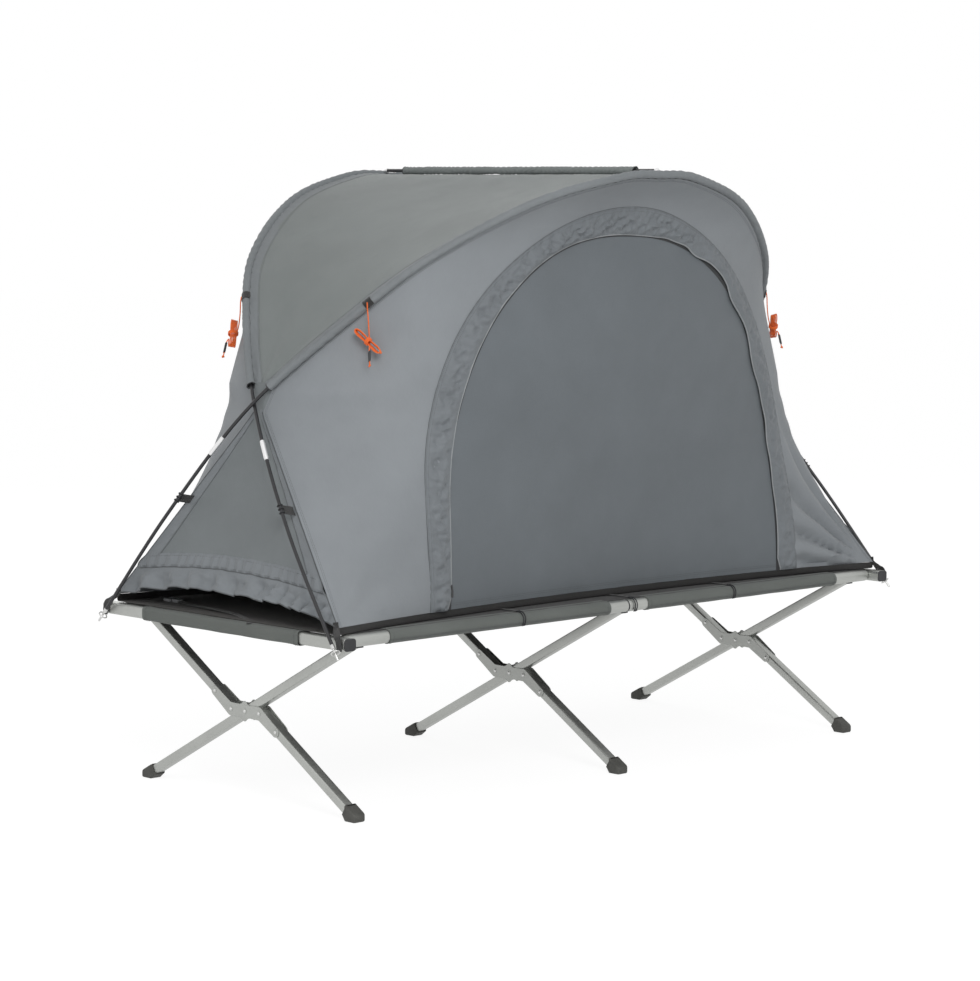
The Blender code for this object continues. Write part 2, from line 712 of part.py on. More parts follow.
def with_fittings(route):
    """A pole's points and radii, with its ferrules and its metal tips."""
    lengths = distances(route)
    total = lengths[-1]
    spans = [(0.0, TIP_LENGTH, TIP_R), (total - TIP_LENGTH, total, TIP_R)]
    for low in (FERRULE_START, total - FERRULE_START - FERRULE_LENGTH):
        spans.append((low, low + FERRULE_LENGTH, FERRULE_R))
    stations = []
    for low, high, radius in spans:
        stations += [(low, radius), (high, radius)]
        stations += [(at, POLE_R) for at in (low - FITTING_STEP, high + FITTING_STEP) if 0 < at < total]
        stations += [(at, radius) for at in lengths if low < at < high]
    stations += [(at, POLE_R) for at in lengths if not any(low <= at <= high for low, high, _ in spans)]
    stations.sort()
    return [point_at(route, lengths, at) for at, _ in stations], [radius for _, radius in stations]


def poles():
    """Two long arch poles with their ferrules and tips, and the roof pole with its end knobs."""
    for side, name in ((-1, "front_arch_pole"), (1, "back_arch_pole")):
        points, radii = with_fittings(pole_route(side))
        pole = wire(name, [points], POLE_R, "fibreglass")
        for point, radius in zip(pole.data.splines[0].points, radii):
            point.radius = radius / POLE_R
    half = ARCH_Y - SLEEVE_R - KNOB + GAP
    stations = [-half - KNOB, -half - FITTING_STEP, -half, 0.0, half, half + FITTING_STEP, half + KNOB]
    pole = wire("roof_pole", [[Vector((0, y, ARCH_Z + ROOF_POLE_Z)) for y in stations]], POLE_R, "fibreglass")
    for point, y in zip(pole.data.splines[0].points, stations):
        point.radius = FERRULE_R / POLE_R if abs(y) > half else 1.0


def sleeves():
    """Cloth sleeves over the arches, with the guy straps round them, and one over the roof pole."""
    for side, name in ((-1, "front_arch_sleeve"), (1, "back_arch_sleeve")):
        run = clip_ends(arch_part(side), SLEEVE_CUT)
        sleeve = sweep_pipe(name, [run], SLEEVE_R, SLEEVE_BORE, 8, "tent_cloth")
        loops = []
        for sign in (-1, 1):
            centre, tangent, down, out = shoulder(side, sign)
            wallward = (down - tangent * down.dot(tangent)).normalized()
            turns = [STRAP_FROM + (STRAP_TO - STRAP_FROM) * k / 6 for k in range(7)]
            route = [(centre + (out * math.cos(a) + wallward * math.sin(a)) * SLEEVE_R, tangent) for a in turns]
            loops.append(strap("guy_strap", route, STRAP_WIDTH, STRAP_T, "webbing"))
        fuse(sleeve, loops)
    reach = ARCH_Y - ROOF_SLEEVE_CUT
    run = [Vector((0, -reach + 2 * reach * k / 6, ARCH_Z + ROOF_POLE_Z)) for k in range(7)]
    sweep_pipe("roof_pole_sleeve", [run], SLEEVE_R, SLEEVE_BORE, 8, "tent_cloth")


def seam_line(side):
    """Where the cloth is sewn to an arch's sleeve, as (roof seam, wall seam) point lists."""
    points = clip_ends(arch_part(side), SLEEVE_CUT)
    middle = Vector((0, ARCH_Y * side * 0.5, CROSS_Z))
    roof, wall = [], []
    for i, point in enumerate(points):
        tangent = (points[min(i + 1, len(points) - 1)] - points[max(i - 1, 0)]).normalized()
        to_roof = Vector((0, -side, -0.15))
        to_roof = (to_roof - tangent * to_roof.dot(tangent)).normalized()
        to_wall = middle - point
        to_wall = (to_wall - tangent * to_wall.dot(tangent)).normalized()
        roof.append(point + to_roof * SEAM)
        wall.append(point + to_wall * SEAM)
    return roof, wall


def roof():
    """The roof: a saddle between the arches, straight over the roof pole and drawn in beside it."""
    front, back = seam_line(-1)[0], seam_line(1)[0]
    grid = []
    for a, b in zip(front, back):
        height = min(1.0, max(0.0, (a.z - CROSS_Z) / (ARCH_Z - CROSS_Z)))
        away = 1 - math.exp(-(a.x / 0.20) ** 2)
        row = []
        for k in range(ROOF_COLUMNS + 1):
            t = k / ROOF_COLUMNS
            dip = 4 * t * (1 - t) * ROOF_SAG * height * away
            inward = -math.copysign(dip * 0.8, a.x) if a.x else 0.0
            row.append(a.lerp(b, t) + Vector((inward, 0, -dip)))
        grid.append(row)
    sheet("roof_panel", [grid], "tent_cloth")


def wall_bottom(x):
    """How far the wall's foot stands from the middle, on either long side."""
    return WALL_CORNER_Y - WALL_BOW * (1 - (x / WALL_CORNER_X) ** 2)


def wall_bound(side):
    """The wall's upper edge from its right corner over the arch to its left corner."""
    arch = seam_line(side)[1]
    corner = Vector((WALL_CORNER_X, side * WALL_CORNER_Y, SILL_Z))
    top = Vector((SEAM_TOP_X, side * SEAM_TOP_Y, SEAM_TOP_Z))
    right = [corner.lerp(top, k / 4) for k in range(5)]
    left = [Vector((-p.x, p.y, p.z)) for p in reversed(right)]
    if arch[0].x < 0:
        arch = arch[::-1]
    return right + arch + left


def wall_point(side, x, z):
    """The wall's surface at a place (x, z): straight threads from its foot to the arch, slightly hollow."""
    arch = seam_line(side)[1]
    if arch[0].x < 0:
        arch = arch[::-1]
    foot_scale = WALL_CORNER_X / arch[0].x
    base = TENT_Z
    best = None
    low, high = 0.0, len(arch) - 1.0
    for _ in range(26):
        mid = (low + high) / 2
        i = min(int(mid), len(arch) - 2)
        top = arch[i].lerp(arch[i + 1], mid - i)
        w = (z - base) / (top.z - base)
        here = top.x * (foot_scale + (1 - foot_scale) * w)
        best = (top, w)
        if here > x:
            low = mid
        else:
            high = mid
    top, w = best
    w = min(1.0, max(0.0, w))
    foot_y = side * wall_bottom(top.x * foot_scale)
    return Vector((x, foot_y + (top.y - foot_y) * w, z))


def door_edge(phi, grow=0.0):
    """The door's outline, half an ellipse on the sill, widened by grow."""
    return ((DOOR_HALF + grow) * math.cos(phi),
            SILL_Z + (DOOR_HEIGHT + grow) * math.sin(phi))


WALL_TURN = 28
DOOR_COLUMNS = 6


def resample(points, count):
    """Points at even steps along a route."""
    lengths = distances(points)
    return [point_at(points, lengths, lengths[-1] * k / count) for k in range(count + 1)]


def wall_rings(side):
    """The wall as rings of points: the doorway's edge, the storm flap's seam, one between, the wall's edge."""
    edge = resample(wall_bound(side), WALL_TURN)
    rings = [[], [], []]
    for i, outer in enumerate(edge):
        x, z = door_edge(math.pi * i / WALL_TURN)
        seam = FLAP_OVER / math.hypot(outer.x - x, outer.z - z)
        for ring, r in zip(rings, (0.0, seam, (1 + seam) / 2)):
            ring.append(wall_point(side, x + (outer.x - x) * r, z + (outer.z - z) * r))
    return rings + [edge]


def flap_band(side, rings):
    """The storm flap's points, on the wall's own mesh lines and clear of its outer face."""
    band = []
    for i in range(WALL_TURN + 1):
        inner, outer = rings[0][i], rings[1][i]
        around = rings[1][min(i + 1, WALL_TURN)] - rings[1][max(i - 1, 0)]
        normal = around.cross(outer - inner).normalized()
        normal *= math.copysign(CLOTH + FLAP_LIFT, normal.y * side)
        band.append([inner.lerp(outer, FLAP_START / FLAP_OVER) + normal, outer + normal])
    return band


def walls_and_doors():
    """Both long walls with their D-shaped doorways, the doors, and the flaps beside their zips."""
    for side, name in ((-1, "front"), (1, "back")):
        rings = wall_rings(side)
        sheet(f"{name}_wall", [rings], "tent_cloth")
        door = []
        for j in range(WALL_TURN // 2):
            half, z = door_edge(math.pi * j / WALL_TURN, -DOOR_GAP)
            door.append([wall_point(side, half * (2 * i / DOOR_COLUMNS - 1), max(z, SILL_Z))
                         for i in range(DOOR_COLUMNS + 1)])
        sheet(f"{name}_door", [door], "door_cloth")
        sheet(f"{name}_storm_flap", [flap_band(side, rings)], "tent_cloth")


def end_panels():
    """The ends between the lower poles, their skirt's edge lifted in the middle, up to the roof's edge."""
    for end, sign in (("left", -1), ("right", 1)):
        grid = []
        for j in range(PANEL_ROWS + 1):
            t = j / PANEL_ROWS
            row = []
            for i in range(PANEL_ROWS + 1):
                v = 2 * i / PANEL_ROWS - 1
                half = WALL_CORNER_Y + (SEAM_TOP_Y - WALL_CORNER_Y) * t + GAP
                x = WALL_CORNER_X + (SEAM_TOP_X - WALL_CORNER_X) * t + CLOTH / 2 + 2 * GAP
                rise = SKIRT_RISE * (1 - v * v) * (1 - t) ** 2
                hollow = PANEL_HOLLOW * (1 - v * v) * 4 * t * (1 - t)
                row.append(Vector((sign * (x - hollow), v * half, SILL_Z + (SEAM_TOP_Z - SILL_Z) * t + rise)))
            grid.append(row)
        front, back = seam_line(-1)[0][0], seam_line(1)[0][0]
        peak = []
        for i in range(PANEL_ROWS + 1):
            p = front.lerp(back, GUSSET_INSET + (1 - 2 * GUSSET_INSET) * i / PANEL_ROWS)
            peak.append(Vector((sign * (p.x + CLOTH + 2 * GAP), p.y, p.z - GUSSET_DROP)))
        grid += [[a.lerp(b, 0.5) for a, b in zip(grid[-1], peak)], peak]
        panel = sheet(f"{end}_end_panel", [grid], "tent_cloth")
        for side in (-1, 1):
            fuse(panel, [pole_tab(grid, sign, side)] + corner_strap(sign, side))


def floor():
    """The tent's floor lies on the bed, its long edges turned up to meet the walls and the doors."""
    feet_line = []
    for side in (-1, 1):
        corner = [ring[0] for ring in wall_rings(side)]
        door = [wall_point(side, DOOR_HALF * (1 - 2 * i / DOOR_COLUMNS), SILL_Z) for i in range(1, DOOR_COLUMNS)]
        far = [Vector((-p.x, p.y, p.z)) for p in corner]
        feet_line.append(corner[::-1] + door + far)
    level = TENT_Z - CLOTH / 2 - GAP
    grid = []
    for front, back in zip(*feet_line):
        upper = [Vector((p.x, p.y, SILL_Z - 2 * GAP)) for p in (front, back)]
        lower = [Vector((p.x, p.y, level)) for p in (front, back)]
        middle = [lower[0].lerp(lower[1], k) for k in (1 / 3, 2 / 3)]
        grid.append([upper[0], lower[0]] + middle + [lower[1], upper[1]])
    base = sheet("tent_floor", [grid], "bed_cloth")
    fuse(base, [rail_hook(side, x) for side in (-1, 1) for x in HOOK_X])


def corner_strap(sx, sy):
    """Webbing from a lower corner of an end panel, ending in the ring that holds a pole's tip."""
    points = ((0.9333, 0.3900, SILL_Z + 0.012), (0.9345, 0.3930, SILL_Z), (0.9440, 0.4060, TENT_Z + 0.004),
              (0.9494, 0.4150, 0.4282), (0.9500, 0.4195, 0.4150), (0.9500, 0.4213, 0.3990))
    route = [(Vector((sx * px, sy * py, pz)), (0, 1, 0)) for px, py, pz in points]
    web = strap("corner_strap", route, STRAP_WIDTH * 0.8, STRAP_T, "webbing")
    centre = Vector((sx * RING_X, sy * RING_Y, RING_Z))
    cross = Vector((sx * CROSS_X, 0, CROSS_Z))
    bpy.ops.mesh.primitive_torus_add(major_segments=10, minor_segments=4, major_radius=RING_R,
                                     minor_radius=RING_WIRE, location=centre,
                                     rotation=(centre - cross).to_track_quat("Z", "Y").to_euler())
    ring = bpy.context.active_object
    ring.name = "corner_ring"
    ring.data.materials.append(SHADES["steel"])
    return [web, ring]


def pole_tab(grid, sign, side):
    """A webbing tab from beside the end panel's edge to the lower pole that it is clipped round."""
    route = [Vector((abs(p.x) * sign, p.y, p.z)) for p in clip_start(pole_route(-side), TAB_PLACE)[:2]]
    pole, way = route[0], (route[0] - route[1]).normalized()
    row = min(grid, key=lambda points: abs(points[0].z - pole.z))
    edge, inner = (row[0], row[1]) if side < 0 else (row[-1], row[-2])
    seam = edge.lerp(inner, TAB_INSET)
    pole = pole + way * (seam - pole).dot(way)
    outward = (pole - seam).normalized()
    reach = pole - outward * (POLE_R + 2 * GAP + CLIP_WALL / 2)
    return strap("pole_tab", [(seam - outward * TAB_T, way), (reach, way)], TAB_WIDTH, TAB_T, "webbing")


def shoulder(side, sign):
    """Where a guy line's strap is, the arch's run there, the way down the wall and the way out of it."""
    points = arch_part(side)
    if points[0].x * sign < 0:
        points = points[::-1]
    index = next(i for i, p in enumerate(points) if p.z > GUY_Z)
    low, high = points[index - 1], points[index]
    centre = low.lerp(high, (GUY_Z - low.z) / (high.z - low.z))
    tangent = (high - low).normalized()
    seam = min(seam_line(side)[1], key=lambda p: (p - centre).length)
    foot_x = seam.x * WALL_CORNER_X / abs(seam_line(side)[1][0].x)
    down = (Vector((foot_x, side * wall_bottom(foot_x), TENT_Z)) - seam).normalized()
    out = tangent.cross(down).normalized()
    out *= math.copysign(1, out.y * side)
    return centre, tangent, down, out


def hank_points(start, down, out):
    """One unbroken cord: down from the strap, then slanting loops side by side drawn in at the waist."""
    lean = (down - down.cross(out)).normalized()
    across = lean.cross(out).normalized()
    half = HANK_RUN / 2
    centre = start + down * HANK_DROP
    inner = -HANK_LOOPS / 2 * HANK_PITCH
    points = [start + down * (HANK_DROP * k) + out * (inner * s)
              for k, s in ((0, 0), (0.15, 0.1), (0.4, 0.6), (0.7, 1), (0.9, 1))]
    for n in range(HANK_LOOPS * LOOP_POINTS):
        turn = n / LOOP_POINTS
        a = 2 * math.pi * turn
        run = math.sin(a) * half + math.sin(a) ** 3 * HANK_END_R * 0.3
        pinch = HANK_WAIST + (1 - HANK_WAIST) * min(1.0, (run / half) ** 2)
        wide = math.cos(a) * HANK_END_R * (0.5 + 0.7 * turn / HANK_LOOPS) * pinch
        points.append(centre - lean * run + across * wide + out * (inner + turn * HANK_PITCH))
    return points


def least_gap(points, radius, skip):
    """The least free gap between parts of one cord that aren't next to each other, measured on points."""
    fine = []
    for a, b in zip(points, points[1:]):
        fine += [a.lerp(b, k / 3) for k in range(3)]
    arr = np.array([tuple(p) for p in fine])
    least = 1.0
    for i in range(len(arr) - skip):
        d = np.linalg.norm(arr[i + skip:] - arr[i], axis=1)
        least = min(least, float(d.min()))
    return least - 2 * radius


def guy_lines():
    """Four guy lines, each one cord: its run from the strap, its hank and the slide tensioner on its tail."""
    for side, name in ((-1, "front"), (1, "back")):
        for sign, end in ((-1, "left"), (1, "right")):
            centre, _, down, out = shoulder(side, sign)
            start = centre + out * (SLEEVE_R + STRAP_T / 2 + CORD_R + GAP)
            points = hank_points(start, down, out)
            tail = points[-1] + out * SLIDER_R
            steps = (SLIDER_DROP, SLIDER_DROP + FITTING_STEP, SLIDER_DROP + SLIDER_LENGTH,
                     SLIDER_DROP + SLIDER_LENGTH + FITTING_STEP, 2 * SLIDER_DROP + SLIDER_LENGTH)
            slide = [tail + down * k for k in steps]
            cord = wire(f"guy_line_{name}_{end}", [points + slide], CORD_R, "guy_cord", 1)
            spline = cord.data.splines[0].points
            for k in (-4, -3):
                spline[k].radius = SLIDER_R / CORD_R
            length = sum((a - b).length for a, b in zip(points + slide, (points + slide)[1:]))
            print(cord.name, "length", round(length, 3), "least gap mm",
                  round(1000 * least_gap(points[5:], CORD_R, LOOP_POINTS * 3 // 2), 2))


def rail_hook(side, x):
    """A tab that runs from the floor's long edge onto the top of the rail's hem."""
    top = TENT_Z - CLOTH / 2 - GAP
    return strap("rail_hook", [(Vector((x, side * (wall_bottom(x) - 0.004), top)), (1, 0, 0)),
                               (Vector((x, side * (RAIL_Y + RAIL_R / 3), top)), (1, 0, 0))],
                 HOOK_WIDTH, CLOTH, "webbing")


frame_tubes()
end_bars()
straight_legs()
split_legs()
hubs()
saddles()
feet()
bed()
poles()
sleeves()
roof()
walls_and_doors()
end_panels()
floor()
guy_lines()
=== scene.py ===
import math

import bmesh
import bpy
import numpy as np
from mathutils import Matrix, Vector, noise


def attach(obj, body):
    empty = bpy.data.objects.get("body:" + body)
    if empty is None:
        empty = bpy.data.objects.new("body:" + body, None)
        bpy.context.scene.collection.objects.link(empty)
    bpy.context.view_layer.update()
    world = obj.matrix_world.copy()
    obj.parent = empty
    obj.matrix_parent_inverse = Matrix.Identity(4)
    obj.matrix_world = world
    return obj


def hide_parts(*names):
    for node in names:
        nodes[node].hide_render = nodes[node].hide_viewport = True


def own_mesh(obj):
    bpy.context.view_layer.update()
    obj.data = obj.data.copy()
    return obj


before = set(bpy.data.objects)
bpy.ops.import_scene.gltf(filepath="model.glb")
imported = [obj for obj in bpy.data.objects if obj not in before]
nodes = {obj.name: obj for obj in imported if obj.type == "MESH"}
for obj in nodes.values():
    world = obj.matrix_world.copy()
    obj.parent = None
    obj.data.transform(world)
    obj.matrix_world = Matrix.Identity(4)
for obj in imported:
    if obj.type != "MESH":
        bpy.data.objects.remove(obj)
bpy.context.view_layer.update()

# Sizes shared with the part
GAP = 0.0003
CLOTH = 0.0012
RAIL_Y, RAIL_R, RAIL_Z, RAIL_END = 0.386, 0.0150, 0.4132, 0.9105
BAR_WIDTH, BAR_HEIGHT, BAR_HALF, BAR_CHAMFER, BAR_PLUG = 0.034, 0.028, 0.432, 0.006, 0.003
BAR_X = RAIL_END + 0.0015 + BAR_WIDTH / 2
BAR_SLEEVE_HALF = 0.280
HEM_START, HEM_END, HEM_CLOTH = 0.066, 0.780, 0.0009
LEG_X, HUB_Z, LEG_END_Z = 0.856, 0.2067, 0.016
LEG_WIDTH, LEG_DEPTH, LEG_CHAMFER = 0.026, 0.021, 0.003
HUB_RIVET_Y, HUB_ARM, PLATE_T = 0.050, 0.069, 0.0016
SADDLE_T, SADDLE_WIDTH, SADDLE_STEM, SADDLE_WRAP = 0.0032, 0.0194, 0.034, math.radians(60)
FOOT_TOP, FOOT_WALL, FOOT_SOLE, FOOT_WIDTH, FOOT_NOSE = 0.024, 0.0035, 0.034, 0.036, 0.007
HEM_MID = (RAIL_R + GAP + HEM_CLOTH / 2) / math.cos(math.radians(180 / 14))
TENT_Z = RAIL_Z + HEM_MID + HEM_CLOTH / 2 + CLOTH + 2.2 * GAP
SILL_Z = TENT_Z + 0.016
POLE_R, TIP_R = 0.00425, 0.0026
CROSS_X, CROSS_Z = 0.844, 0.915
ARCH_Y, ARCH_Z = 0.490, 1.4505
RING = Vector((0.9585, 0.4190, 0.3970))
SLEEVE_R, SLEEVE_CUT = 0.010, 0.060
SEAM = SLEEVE_R + 3 * GAP
ROOF_SAG, ROOF_POLE_Z = 0.030, SLEEVE_R - 2 * GAP
WALL_CORNER_X, WALL_CORNER_Y, WALL_BOW = 0.932, 0.398, 0.085
SEAM_TOP_X, SEAM_TOP_Y, SEAM_TOP_Z = 0.826, 0.012, 0.898
SKIRT_RISE, PANEL_HOLLOW = 0.030, 0.018
DOOR_HALF, DOOR_HEIGHT, DOOR_GAP = 0.603, 0.865, 0.0012
FLAP_OVER = 0.062
# The walls curve inwards by HOLLOW below the arches' tops, over HOLLOW_HALF to each side
HOLLOW, HOLLOW_HALF = 0.092, 0.42
# The door's outline: how far its foot stands to the right, and how full its shoulders are (2 is an ellipse)
DOOR_SLIDE, DOOR_POWER = 0.030, 2.35
POLE_SHIFT = POLE_R + 2 * GAP
TIP_LENGTH, TIP_BEYOND, POLE_BOW = 0.034, 0.020, 0.022
FERRULE_START, FERRULE_LENGTH = 0.535, 0.062
STRAP_WIDTH, STRAP_T = 0.022, 0.0016
TAB_WIDTH, TAB_T, TAB_PLACE, TAB_INSET = 0.024, 0.0016, 0.395, 0.3
HOOK_X, HOOK_WIDTH = (-0.36, 0.02, 0.38), 0.010
SLIDER_LENGTH, SLIDER_R, SLIDER_DROP = 0.024, 0.0040, 0.010
CORD_R, HANK_RUN, HANK_LOOPS, LOOP_POINTS = 0.0014, 0.074, 5, 16
HANK_DROP, HANK_PITCH, HANK_WAIST, HANK_END_R, GUY_Z = 0.090, 0.0034, 0.45, 0.0105, 1.152
CAD_STEPS = 3
FINE = 12
WALL_TURN = 28
SIDES = (("front", -1), ("back", 1))
ENDS = (("left", -1), ("right", 1))

# The photo's camera, fitted to the cot's and the tent's known lengths; the lens in pixels of the photo
CAMERA_PLACE = Vector((-5.4194, -5.5076, 1.4029))
CAMERA_TURN = [math.radians(a) for a in (44.48, -5.623, 0.444)]
PHOTO_WIDTH, PHOTO_HEIGHT, LENS_PIXELS = 980, 981, 3103.6
LENS_CENTRE_X, LENS_CENTRE_Y = 567, 500
SENSOR = 36.0


def linked(name, data):
    """A new object in the scene."""
    obj = bpy.data.objects.new(name, data)
    bpy.context.scene.collection.objects.link(obj)
    return obj


def camera():
    """The photo's camera: yaw from +X, pitch and roll, and a lens whose middle is beside the picture's."""
    data = bpy.data.cameras.new("photo_camera")
    cam = linked("photo_camera", data)
    yaw, pitch, roll = CAMERA_TURN
    ahead = Vector((math.cos(pitch) * math.cos(yaw), math.cos(pitch) * math.sin(yaw), math.sin(pitch)))
    right = ahead.cross(Vector((0, 0, 1))).normalized()
    up = right.cross(ahead)
    right_r = right * math.cos(roll) + up * math.sin(roll)
    up_r = up * math.cos(roll) - right * math.sin(roll)
    turn = Matrix((right_r, up_r, -ahead)).transposed().to_4x4()
    turn.translation = CAMERA_PLACE
    cam.matrix_world = turn
    data.sensor_width = SENSOR
    data.lens = LENS_PIXELS / PHOTO_WIDTH * SENSOR
    data.shift_x = (PHOTO_WIDTH / 2 - LENS_CENTRE_X) / PHOTO_WIDTH
    data.shift_y = (LENS_CENTRE_Y - PHOTO_HEIGHT / 2) / PHOTO_WIDTH
    data.clip_end = 100
    bpy.context.scene.camera = cam


camera()


# Routes and surfaces shared with the part
def catmull(points, steps):
    """A smooth route through the given points, with the given number of steps in each stretch."""
    pts = [Vector(p) for p in points]
    ends = [pts[0] * 2 - pts[1]] + pts + [pts[-1] * 2 - pts[-2]]
    route = []
    for i in range(1, len(ends) - 2):
        a, b, c, d = ends[i - 1:i + 3]
        for k in range(steps):
            t = k / steps
            route.append(0.5 * (2 * b + (c - a) * t + (2 * a - 5 * b + 4 * c - d) * t ** 2
                                + (3 * b - a - 3 * c + d) * t ** 3))
    route.append(pts[-1])
    return route


def pole_route(side, steps=CAD_STEPS):
    """The whole arch pole. The front pole (side -1) crosses outside the back pole (side 1)."""
    lean = ARCH_Z - CROSS_Z
    shoulders = ((0.706, 0.385), (0.578, 0.640), (0.360, 0.873), (0.130, 0.987))
    end = Vector((RING.x, -RING.y, RING.z))
    cross = Vector((CROSS_X - side * POLE_SHIFT, 0.0, CROSS_Z))
    down = (end - cross).normalized()
    half = [end + down * TIP_BEYOND, end.lerp(cross, 0.5) + Vector((POLE_BOW, 0, 0)), cross]
    half += [Vector((x, ARCH_Y * k, CROSS_Z + lean * k)) for x, k in shoulders]
    other = [Vector((-p.x, p.y, p.z)) for p in reversed(half)]
    points = half + [Vector((0.0, ARCH_Y, ARCH_Z))] + other
    return catmull([Vector((p.x, p.y * side, p.z)) for p in points], steps)


def arch_part(side, steps=CAD_STEPS):
    """The stretch of a pole's route between its two crossings."""
    route = pole_route(side, steps)
    return route[2 * steps:len(route) - 2 * steps]


def clip_start(points, distance):
    """Leave out the first stretch of a route."""
    walked = 0.0
    for i in range(len(points) - 1):
        step = (points[i + 1] - points[i]).length
        if walked + step > distance:
            first = points[i].lerp(points[i + 1], (distance - walked) / step)
            return [first] + points[i + 1:]
        walked += step
    return points


def clip_ends(points, distance):
    """Leave out the same stretch at both ends of a route."""
    return clip_start(clip_start(points, distance)[::-1], distance)[::-1]


def distances(points):
    """How far along a route each of its points lies."""
    lengths = [0.0]
    for a, b in zip(points, points[1:]):
        lengths.append(lengths[-1] + (b - a).length)
    return lengths


def resample(points, count):
    """Points at even steps along a route."""
    lengths = distances(points)
    made, i = [], 0
    for k in range(count + 1):
        at = lengths[-1] * k / count
        while i < len(points) - 2 and lengths[i + 1] < at:
            i += 1
        made.append(points[i].lerp(points[i + 1], (at - lengths[i]) / (lengths[i + 1] - lengths[i])))
    return made


def tangents(points):
    """The unit vector along a route at each of its points."""
    last = len(points) - 1
    return [(points[min(i + 1, last)] - points[max(i - 1, 0)]).normalized() for i in range(len(points))]


def square(vector, run):
    """The unit vector square to a run that is nearest to a vector."""
    return (vector - run * vector.dot(run)).normalized()


def seam_line(side, steps=CAD_STEPS):
    """Where the cloth is sewn to an arch's sleeve, as (roof seam, wall seam) point lists."""
    points = clip_ends(arch_part(side, steps), SLEEVE_CUT)
    middle = Vector((0, ARCH_Y * side * 0.5, CROSS_Z))
    roof, wall = [], []
    for point, tangent in zip(points, tangents(points)):
        roof.append(point + square(Vector((0, -side, -0.15)), tangent) * SEAM)
        wall.append(point + square(middle - point, tangent) * SEAM)
    return roof, wall


SEAMS = {side: [line if line[0].x > 0 else line[::-1] for line in seam_line(side, FINE)] for side in (-1, 1)}


def wall_bottom(x):
    """How far the wall's foot stands from the middle, on either long side."""
    return WALL_CORNER_Y - WALL_BOW * (1 - (x / WALL_CORNER_X) ** 2)


def wall_bound(side):
    """The wall's upper edge from its right corner over the arch to its left corner."""
    corner = Vector((WALL_CORNER_X, side * WALL_CORNER_Y, SILL_Z))
    top = Vector((SEAM_TOP_X, side * SEAM_TOP_Y, SEAM_TOP_Z))
    right = [corner.lerp(top, k / 4) for k in range(5)]
    left = [Vector((-p.x, p.y, p.z)) for p in reversed(right)]
    return right + SEAMS[side][1] + left


def wall_point(side, x, z):
    """The wall's surface at a place (x, z): straight threads from its foot to the arch."""
    arch = SEAMS[side][1]
    foot_scale = WALL_CORNER_X / arch[0].x
    low, high = 0.0, len(arch) - 1.0
    for _ in range(18):
        mid = (low + high) / 2
        i = min(int(mid), len(arch) - 2)
        top = arch[i].lerp(arch[i + 1], mid - i)
        w = (z - TENT_Z) / (top.z - TENT_Z)
        if top.x * (foot_scale + (1 - foot_scale) * w) > x:
            low = mid
        else:
            high = mid
    w = min(1.0, max(0.0, w))
    foot_y = side * wall_bottom(top.x * foot_scale)
    hollow = HOLLOW * math.exp(-(top.x / HOLLOW_HALF) ** 2) * w ** 8 * (1 - w) ** 1.1 / 0.0350
    return Vector((x, foot_y + (top.y - foot_y) * w - side * hollow, z))


def door_reach(phi):
    """How far the door's stretched outline stands off half an ellipse: full shoulders, a narrower foot."""
    turn = max(0.0, min(phi, math.pi - phi))
    foot = max(0.0, 1 - turn / 0.9)
    full = (math.cos(turn) ** DOOR_POWER + math.sin(turn) ** DOOR_POWER) ** (-1 / DOOR_POWER)
    return full * (1 - 0.040 * foot * foot * (3 - 2 * foot))


def door_edge(phi, grow=0.0):
    """The door's outline on the wall, from its right foot over the top to its left foot, widened by grow."""
    reach = door_reach(phi)
    up = min(1.0, max(0.0, math.sin(phi) / 0.45 - 0.11))
    slide = DOOR_SLIDE * (1 - up * up * (3 - 2 * up))
    return ((DOOR_HALF * reach + grow) * math.cos(phi) + slide,
            SILL_Z + (DOOR_HEIGHT * reach + grow) * math.sin(phi))


def shoulder(side, sign):
    """Where a guy line's strap is, the arch's run there, the way down the wall and the way out of it."""
    points = arch_part(side)
    if points[0].x * sign < 0:
        points = points[::-1]
    index = next(i for i, p in enumerate(points) if p.z > GUY_Z)
    low, high = points[index - 1], points[index]
    centre = low.lerp(high, (GUY_Z - low.z) / (high.z - low.z))
    tangent = (high - low).normalized()
    wall = seam_line(side)[1]
    seam = min(wall, key=lambda p: (p - centre).length)
    foot_x = seam.x * WALL_CORNER_X / abs(wall[0].x)
    down = (Vector((foot_x, side * wall_bottom(foot_x), TENT_Z)) - seam).normalized()
    out = tangent.cross(down).normalized()
    out *= math.copysign(1, out.y * side)
    return centre, tangent, down, out


def hank_points(start, down, out):
    """One unbroken cord: down from the strap, then slanting loops side by side drawn in at the waist."""
    lean = (down - down.cross(out)).normalized()
    across = lean.cross(out).normalized()
    half = HANK_RUN / 2
    centre = start + down * HANK_DROP
    inner = -HANK_LOOPS / 2 * HANK_PITCH
    points = [start + down * (HANK_DROP * k) + out * (inner * s)
              for k, s in ((0, 0), (0.15, 0.1), (0.4, 0.6), (0.7, 1), (0.9, 1))]
    for n in range(HANK_LOOPS * LOOP_POINTS):
        turn = n / LOOP_POINTS
        a = 2 * math.pi * turn
        run = math.sin(a) * half + math.sin(a) ** 3 * HANK_END_R * 0.3
        pinch = HANK_WAIST + (1 - HANK_WAIST) * min(1.0, (run / half) ** 2)
        wide = math.cos(a) * HANK_END_R * (0.5 + 0.7 * turn / HANK_LOOPS) * pinch
        points.append(centre - lean * run + across * wide + out * (inner + turn * HANK_PITCH))
    return points, centre, lean, across


